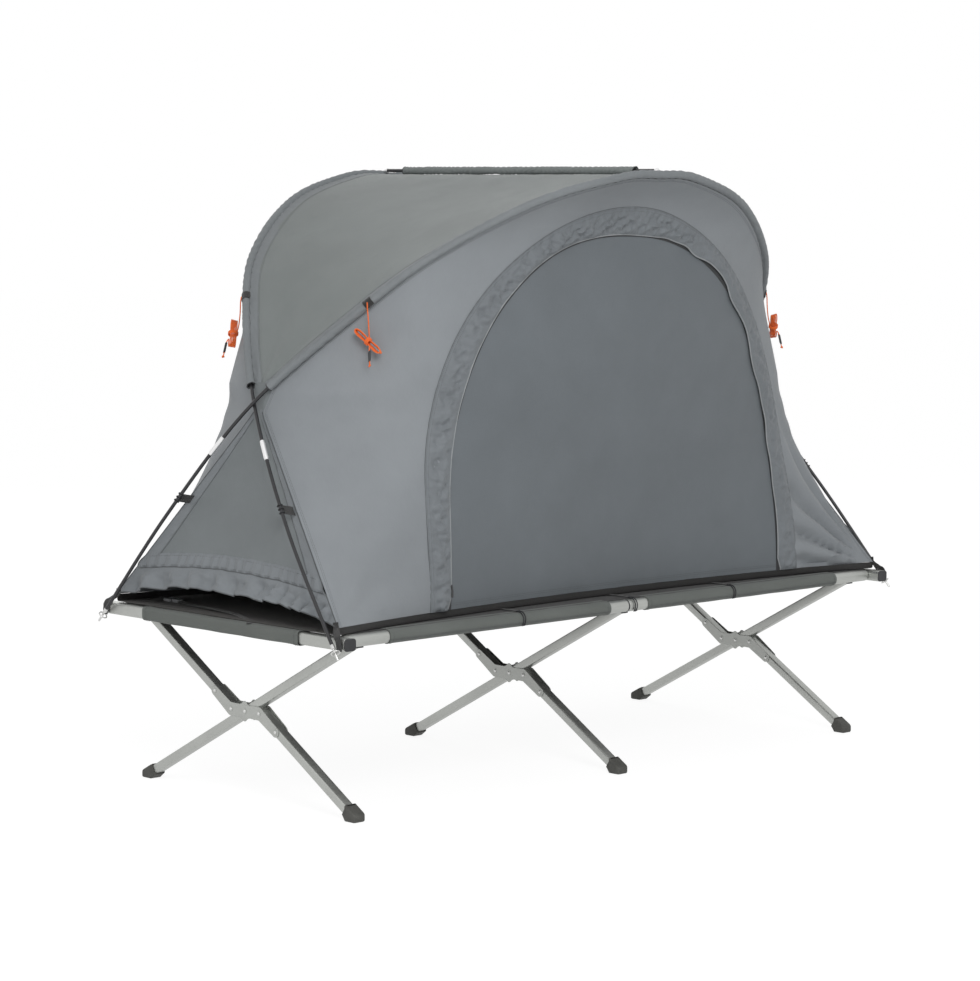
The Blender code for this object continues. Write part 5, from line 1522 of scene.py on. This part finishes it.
def end_panels():
    """The ends: darker triangle, lighter bands along its sides, a gathered hem and a loose skirt below it."""
    rows, cols, top_rows = 110, 96, 10
    for end, sign in ENDS:
        grid = np.zeros((rows + 1 + top_rows, cols + 1, 3))
        share = np.zeros((rows + 1 + top_rows, cols + 1))
        across = np.zeros_like(share)
        for j in range(rows + 1):
            t = j / rows
            for i in range(cols + 1):
                v = 2 * i / cols - 1
                half = WALL_CORNER_Y + (SEAM_TOP_Y - WALL_CORNER_Y) * t + GAP + 0.0028 * soft(0.96, 1.0, t)
                x = WALL_CORNER_X + (SEAM_TOP_X - WALL_CORNER_X) * t + CLOTH / 2 + 2 * GAP
                rise = SKIRT_RISE * (1 - v * v) * (1 - t) ** 2
                rise += SKIRT_LIFT * (1 - v ** 4) * max(0.0, 1 - t / HEM_LOW)
                wave = (0.0080 * noise.noise(Vector((v * 4.2, sign * 3.0, 1.0)))
                        + 0.0045 * noise.noise(Vector((v * 11, sign, 4.0)))) * (1 - v * v) * (1 - t) ** 6
                hollow = PANEL_HOLLOW * (1 - v * v) * 4 * t * (1 - t)
                grid[j, i] = (sign * (x - hollow), v * half, SILL_Z + (SEAM_TOP_Z - SILL_Z) * t + rise + wave)
                share[j, i] = t
                across[j, i] = (1 - abs(v)) * half
        front, back = SEAMS[-1][0][0 if sign > 0 else -1], SEAMS[1][0][0 if sign > 0 else -1]
        starts = [SEAMS[way][1][0 if sign > 0 else -1] for way in (-1, 1)]
        peaks = resample([starts[0], front, back, starts[1]], cols)
        for j in range(top_rows):
            k = (j + 1) / top_rows
            for i in range(cols + 1):
                p = peaks[i]
                peak = np.array((sign * (abs(p.x) - 0.002), p.y * 1.10, p.z + 0.003))
                grid[rows + 1 + j, i] = grid[rows, i] * (1 - k) + peak * k
                share[rows + 1 + j, i] = 1.0 + k
                across[rows + 1 + j, i] = 0.0
        n = normals_of(grid, (sign, 0, 0.2))
        body_part = share <= 1.0
        skirt = soft(HEM_LOW, HEM_LOW * 0.4, share)
        in_hem = soft(HEM_LOW - 0.004, HEM_LOW + 0.004, share)
        in_hem = in_hem * (1 - soft(HEM_HIGH - 0.004, HEM_HIGH + 0.004, share))
        y = grid[:, :, 1]
        edge_free = soft(0.0, 0.04, across)
        amount = 0.0015 * clouds(grid, 3.0, 81) * edge_free * soft(HEM_HIGH, HEM_HIGH + 0.1, share) * body_part
        folds = np.sin(y * 2 * np.pi / 0.088 + 2.4 * clouds(grid, 5, 83)) * 0.6 + clouds(grid, 12, 85) * 0.7
        folds += 0.9 * (0.4 - np.abs(clouds(grid, 15, 91))) + 0.35 * clouds(grid, 34, 93)
        lean = np.sin((y + 0.55 * grid[:, :, 2]) * 2 * np.pi / 0.052 + 3 * clouds(grid, 6, 95))
        folds += 0.8 * lean * soft(0.10, -0.30, y)
        amount += 0.0125 * folds * skirt * edge_free
        amount += 0.0026 * in_hem * (0.4 + np.sin(y * 2 * np.pi / 0.031 + 2.5 * clouds(grid, 9, 87)))
        amount += 0.0008 * in_hem
        width = 0.010 + 0.050 * np.clip(1 - share, 0, 1)
        band = (across < width) & body_part & (share > HEM_HIGH)
        puckers = np.sin(along(grid, 0) * 2 * np.pi / 0.06 + 2 * clouds(grid, 6, 89))
        amount += 0.0006 * band + 0.0010 * band * puckers * np.sin(np.pi * np.clip(across / width, 0, 1))
        grid = grid + n * amount[..., None]
        pick = np.where(band | ((share >= HEM_LOW) & (share <= HEM_HIGH) & body_part), 1, 0)
        pick = np.where(share < HEM_LOW, 2, pick)
        obj = panel(f"{end}_end_cloth", grid, ["end", "band", "band"], "tent", pick=pick)
        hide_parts(f"{end}_end_panel")
        declare(grid)
        bm = new_bm()
        for at, rows_above in ((HEM_LOW, (0.0022, 0.0050)), (HEM_HIGH, (-0.0030,))):
            j = round(at * rows)
            path = [vec(grid[j, i]) + vec(n[j, i]) * 0.0007 for i in range(2, cols - 1)]
            # The dark tube along the hem's lower edge is a painted shadow line under the band
            if at == HEM_LOW:
                add_tube(bm, path, [0.0012] * len(path), 6)
            for off in rows_above:
                stitch("tent", [p + Vector((0, 0, off)) for p in path], [n[j, i] for i in range(2, cols - 1)])
        for way in (-1, 1):
            path, ups = [], []
            for j in range(round(HEM_HIGH * rows), rows - 3):
                t = j / rows
                half = WALL_CORNER_Y + (SEAM_TOP_Y - WALL_CORNER_Y) * t + GAP
                v = way * (1 - (0.010 + 0.050 * (1 - t)) / half)
                at = (v + 1) / 2 * cols
                if not 1 < at < cols - 1 or v * way < 0.05:
                    continue
                k = int(at)
                spot = grid[j, k] * (1 - at + k) + grid[j, k + 1] * (at - k)
                path.append(vec(spot) + vec(n[j, k]) * 0.0006)
                ups.append(n[j, k])
            add_tube(bm, path, [0.0008] * len(path), 6)
            shift = Vector((0, way * 0.0035, 0))
            stitch("tent", [p + shift for p in path], ups)
        bottom = [vec(grid[0, i]) for i in range(cols + 1)]
        add_tube(bm, bottom, [0.0014] * len(bottom), 8)
        for way in (0, -1):
            side_edge = [vec(grid[j, way]) + Vector((sign * 0.0006, 0, 0)) for j in range(rows + 1)]
            add_tube(bm, side_edge, [0.0012] * len(side_edge), 6)
        finish_bmesh(f"{end}_end_seams", bm, ["seam"], "tent")
        corner_webbing(end, sign, grid, rows, cols)


def corner_webbing(end, sign, grid, rows, cols):
    """Corner straps with their rings, and the clip tabs on the lower poles."""
    routes, tabs = [], []
    bm = new_bm()
    points = ((0.9333, 0.3900, SILL_Z + 0.012), (0.9345, 0.3930, SILL_Z), (0.9440, 0.4060, TENT_Z + 0.004),
              (0.9494, 0.4150, 0.4282), (0.9500, 0.4195, 0.4150), (0.9500, 0.4213, 0.3990))
    for way in (-1, 1):
        smooth = catmull([Vector((sign * x, way * y, z)) for x, y, z in points], 5)
        routes.append([(p, (0, 1, 0)) for p in smooth])
        centre = Vector((sign * RING.x, way * RING.y, RING.z))
        axis = (centre - Vector((sign * CROSS_X, 0, CROSS_Z))).normalized()
        side = axis.orthogonal().normalized()
        up = axis.cross(side)
        ring = [centre + side * u + up * v for u, v in circle(0.010, 28)]
        add_tube(bm, ring, [0.0015] * 28, 10, closed=True)
    ring_piece = finish_bmesh(f"{end}_corner_rings", bm, ["steel"], "tent", 50)
    webs = strap(f"{end}_corner_straps", routes, STRAP_WIDTH * 0.8, STRAP_T, "webbing", "tent")
    for piece in (ring_piece, webs):
        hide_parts(f"{end}_end_panel")
    bm = new_bm()
    for way in (-1, 1):
        route = [Vector((abs(p.x) * sign, p.y, p.z)) for p in clip_start(pole_route(-way, FINE), TAB_PLACE)[:2]]
        pole, run = route[0], (route[0] - route[1]).normalized()
        j = int(np.argmin(np.abs(grid[:rows, 0, 2] - pole.z)))
        k = int(cols * TAB_INSET / 16) + 2
        seam = vec(grid[j, k if way < 0 else cols - k])
        pole = pole + run * (seam - pole).dot(run)
        outward = (pole - seam).normalized()
        normal = outward.cross(run).normalized()
        reach = pole - outward * (POLE_R + 0.0012)
        tab = (seam - outward * 0.002, seam.lerp(reach, 0.5) + normal * 0.0006, reach)
        tabs.append([(p, run) for p in tab])
        for half in (-0.010, 0.0, 0.010):
            loop = [pole + run * half + (outward * math.cos(a) + normal * math.sin(a)) * (POLE_R + 0.0014)
                    for a in [math.radians(-150 + 300 * q / 18) for q in range(19)]]
            add_tube(bm, loop, [0.0014] * 19, 8)
    clips = finish_bmesh(f"{end}_pole_clips", bm, ["plastic"], "tent", 50)
    bands = strap(f"{end}_pole_tabs", tabs, TAB_WIDTH, TAB_T, "webbing", "tent")
    for piece in (clips, bands):
        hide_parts(f"{end}_end_panel")


def floor_cloth():
    """The tent's floor on the bed, its edges turned up to the walls, and its hooks over the rails."""
    stations = []
    for r in np.linspace(1, 0, 22):
        stations.append([wall_at(side, 0, float(r)) for side in (-1, 1)])
    right, left = door_edge(0)[0], door_edge(math.pi)[0]
    for k in range(1, 70):
        x = right + (left - right) * k / 70
        stations.append([wall_point(side, x, SILL_Z) for side in (-1, 1)])
    for r in np.linspace(0, 1, 22):
        stations.append([wall_at(side, WALL_COLUMNS, float(r)) for side in (-1, 1)])
    level = TENT_Z - CLOTH / 2 - GAP
    turned_up = ((0.0, SILL_Z - 0.0006), (-0.0002, (SILL_Z + level) / 2), (0.0008, level + 0.0022),
                 (0.0035, level + 0.0002))
    grid = []
    for front, back in stations:
        row = [(front.x, front.y + inward, z) for inward, z in turned_up]
        low, high = front.y + 0.010, back.y - 0.010
        for k in range(25):
            y = low + (high - low) * k / 24
            lift = 0.0009 * max(0.0, noise.noise(Vector((front.x * 9, y * 12, 4.0))))
            row.append((front.x, y, level + lift))
        row += [(back.x, back.y - inward, z) for inward, z in reversed(turned_up)]
        grid.append(row)
    grid = np.array(grid)
    # Lit and shaded copies of one floor: the flat middle takes the lighter coating as painted light, the
    # turned-up edges the black bed canvas as painted shade
    pick = np.zeros(grid.shape[:2])
    pick[:, 4:-4] = 1
    obj = panel("floor_cloth", grid, ["bed", "floor"], "tent", 0.0008, pick=pick)
    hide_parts("tent_floor")
    declare(grid)
    routes = []
    bm = new_bm()
    for side in (-1, 1):
        for x in HOOK_X:
            start = Vector((x, side * (wall_bottom(x) - 0.002), level + 0.0012))
            crest = Vector((x, side * (RAIL_Y - 0.004), level + 0.0006))
            tab = (start, start.lerp(crest, 0.5) + Vector((0, 0, 0.0012)), crest)
            routes.append([(p, (1, 0, 0)) for p in tab])
            radius = RAIL_R + 0.0034
            for off in (-0.0042, 0.0042):
                hook = []
                for k in range(22):
                    a = math.radians(100 - 150 * k / 21)
                    hook.append(Vector((x + off * (1 - k / 60), side * (RAIL_Y + radius * math.cos(a)),
                                        RAIL_Z + radius * math.sin(a))))
                hook += [hook[-1] + Vector((0, side * 0.003 * k, 0.0016 * k)) for k in (1, 2)]
                add_tube(bm, hook, [0.0014] * len(hook), 8)
            cross = [Vector((x + off, side * (RAIL_Y - 0.004), level + 0.0016)) for off in (-0.0055, 0.0055)]
            add_tube(bm, cross, [0.0018] * 2, 8)
    hooks = finish_bmesh("rail_hooks", bm, ["plastic"], "tent", 50)
    bands = strap("rail_hook_webbing", routes, HOOK_WIDTH, CLOTH, "webbing", "tent")
    for piece in (hooks, bands):
        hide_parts("tent_floor")


def poles():
    """Two long arch poles with their ferrules, joint rings and metal tips."""
    for name, side in SIDES:
        route = resample(pole_route(side, FINE), POLE_STEPS)
        lengths = distances(route)
        total = lengths[-1]
        rod = tube(f"{name}_pole_rod", [p for p, at in zip(route, lengths) if 0.030 < at < total - 0.030],
                   POLE_R, "pole", "tent", 16)
        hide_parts(f"{name}_arch_pole")
        bm = new_bm()
        for low in (FERRULE_START, total - FERRULE_START - FERRULE_LENGTH):
            inside = [(p, at) for p, at in zip(route, lengths) if low <= at <= low + FERRULE_LENGTH]
            pts = [p for p, _ in inside]
            radii = [0.0051] + [0.0057] * (len(pts) - 2) + [0.0051]
            add_tube(bm, pts, radii, 20)
            for end_point, way in ((pts[1], pts[1] - pts[0]), (pts[-2], pts[-1] - pts[-2])):
                w = way.normalized() * 0.0012
                add_tube(bm, [end_point - w, end_point + w], [0.0061, 0.0061], 20)
        ferrules = finish_bmesh(f"{name}_pole_ferrules", bm, ["ferrule"], "tent", 35)
        bm = new_bm()
        for ends in (route, route[::-1]):
            head, way = ends[0], (ends[1] - ends[0]).normalized()
            profile = [(0.0, 0.0012), (0.0008, 0.0022), (0.002, TIP_R), (TIP_LENGTH - 0.004, TIP_R),
                       (TIP_LENGTH - 0.003, 0.0049), (TIP_LENGTH + 0.006, 0.0049), (TIP_LENGTH + 0.007, 0.0044)]
            add_tube(bm, [head + way * a for a, _ in profile], [r for _, r in profile], 16)
        tips = finish_bmesh(f"{name}_pole_tips", bm, ["steel"], "tent", 35)
        for piece in (ferrules, tips):
            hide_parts(f"{name}_arch_pole")


poles()
sleeves()
roof()
roof_pole()
walls()
flaps()
doors()
end_panels()
floor_cloth()


# Small things on the bed
BUCKLE_PLACE = (-0.850, 0.285)


def bed_buckle():
    """At the tent's left end: a strap with its side-release buckle on the floor cloth, its end over the bar."""
    top = TENT_Z + 0.0010
    x, y = BUCKLE_PLACE
    bm = new_bm()
    for way, length, width in ((1, 0.026, 0.026), (-1, 0.020, 0.024)):
        loop = rounded_rectangle(length, width, 0.005, 5)
        rings = []
        for z, grow in ((0.0, 0.93), (0.0012, 1.0), (0.0058, 1.0), (0.0072, 0.90)):
            rings.append([bm.verts.new((x + u * grow, y + way * 0.014 + v * grow, top + z)) for u, v in loop])
        skin(bm, rings)
    finish_bmesh("bed_buckle", bm, ["buckle"], "tent", 35)
    over = RAIL_Z + BAR_HEIGHT / 2 + 0.0022
    side = -BAR_X - BAR_WIDTH / 2 - 0.0022
    near = [(x, y - 0.024, top + 0.003), (x - 0.010, y - 0.06, top + 0.0010), (x - 0.028, 0.10, top + 0.0030),
            (x - 0.040, 0.01, top + 0.0016), (-RAIL_END - 0.001, -0.060, over + 0.0012),
            (-BAR_X, -0.095, over + 0.0004), (side + 0.003, -0.112, over - 0.0002)]
    far = [(x, y + 0.024, top + 0.003), (x + 0.012, y + 0.050, top + 0.0012),
           (x + 0.034, y + 0.085, top + 0.0008)]
    routes = []
    for points in (near, far):
        smooth = catmull([Vector(p) for p in points], 6)
        routes.append([(p, run.cross(Vector((0, 0, 1)))) for p, run in zip(smooth, tangents(smooth))])
    strap("bed_buckle_webbing", routes, 0.019, 0.0014, "webbing", "tent")


bed_buckle()
sew()


# Studio
def light(name, energy, place, aim, size):
    """A soft square light, aimed at a point."""
    data = bpy.data.lights.new(name, "AREA")
    data.energy = energy
    data.shape = "RECTANGLE"
    data.size, data.size_y = size, size
    obj = linked(name, data)
    obj.location = place
    obj.rotation_euler = (Vector(aim) - Vector(place)).to_track_quat("-Z", "Y").to_euler()


def white(tree, kind, strength):
    """A plain white shader that shines by itself."""
    node = tree.nodes.new(kind)
    node.inputs["Color"].default_value = (1, 1, 1, 1)
    node.inputs["Strength"].default_value = strength
    return node.outputs[0]


def show(tree, plain, seen, rays, share, output):
    """Mix a share of what is seen into a plain shader, for the given kinds of ray."""
    path = tree.nodes.new("ShaderNodeLightPath")
    found = path.outputs[rays[0]]
    for how, value in [("MAXIMUM", path.outputs[ray]) for ray in rays[1:]] + [("MULTIPLY", share)]:
        node = tree.nodes.new("ShaderNodeMath")
        node.operation = how
        tree.links.new(found, node.inputs[0])
        if how == "MAXIMUM":
            tree.links.new(value, node.inputs[1])
        else:
            node.inputs[1].default_value = value
        found = node.outputs[0]
    mix = tree.nodes.new("ShaderNodeMixShader")
    for source, socket in zip((found, plain, seen), mix.inputs):
        tree.links.new(source, socket)
    tree.links.new(mix.outputs[0], tree.nodes[output].inputs["Surface"])


def studio():
    """A plain white floor that keeps the shadow, a white background and soft lights."""
    bm = bmesh.new()
    bmesh.ops.create_grid(bm, x_segments=1, y_segments=1, size=30)
    mesh = bpy.data.meshes.new("studio_floor")
    bm.to_mesh(mesh)
    bm.free()
    floor = linked("studio_floor", mesh)
    floor.location = (0, 0, -0.0005)
    mat = bpy.data.materials.new("studio_white")
    mat.use_nodes = True
    shader = mat.node_tree.nodes["Principled BSDF"]
    shader.inputs["Base Color"].default_value = (0.94, 0.94, 0.94, 1)
    shader.inputs["Roughness"].default_value = 0.95
    shader.inputs["Specular IOR Level"].default_value = 0.1
    glow = white(mat.node_tree, "ShaderNodeEmission", 1.15)
    show(mat.node_tree, shader.outputs[0], glow, ("Is Camera Ray", "Is Glossy Ray"), 0.78, "Material Output")
    mesh.materials.append(mat)
    world = bpy.data.worlds.new("studio")
    bpy.context.scene.world = world
    world.use_nodes = True
    plain = world.node_tree.nodes["Background"]
    plain.inputs["Color"].default_value = (1, 1, 1, 1)
    plain.inputs["Strength"].default_value = 0.47
    sky = white(world.node_tree, "ShaderNodeBackground", 1.0)
    show(world.node_tree, plain.outputs[0], sky, ("Is Camera Ray", "Is Glossy Ray", "Is Transmission Ray"), 1.0,
         "World Output")
    light("key", 98, (-2.7, -3.7, 3.2), (0, 0, 0.8), 2.0)
    light("fill", 22, (-5.5, -2.0, 2.6), (0, 0, 0.7), 3.0)
    light("back", 35, (2.5, 5.0, 3.5), (0, 0, 0.8), 3.0)


studio()
bpy.context.scene.view_settings.view_transform = "Standard"
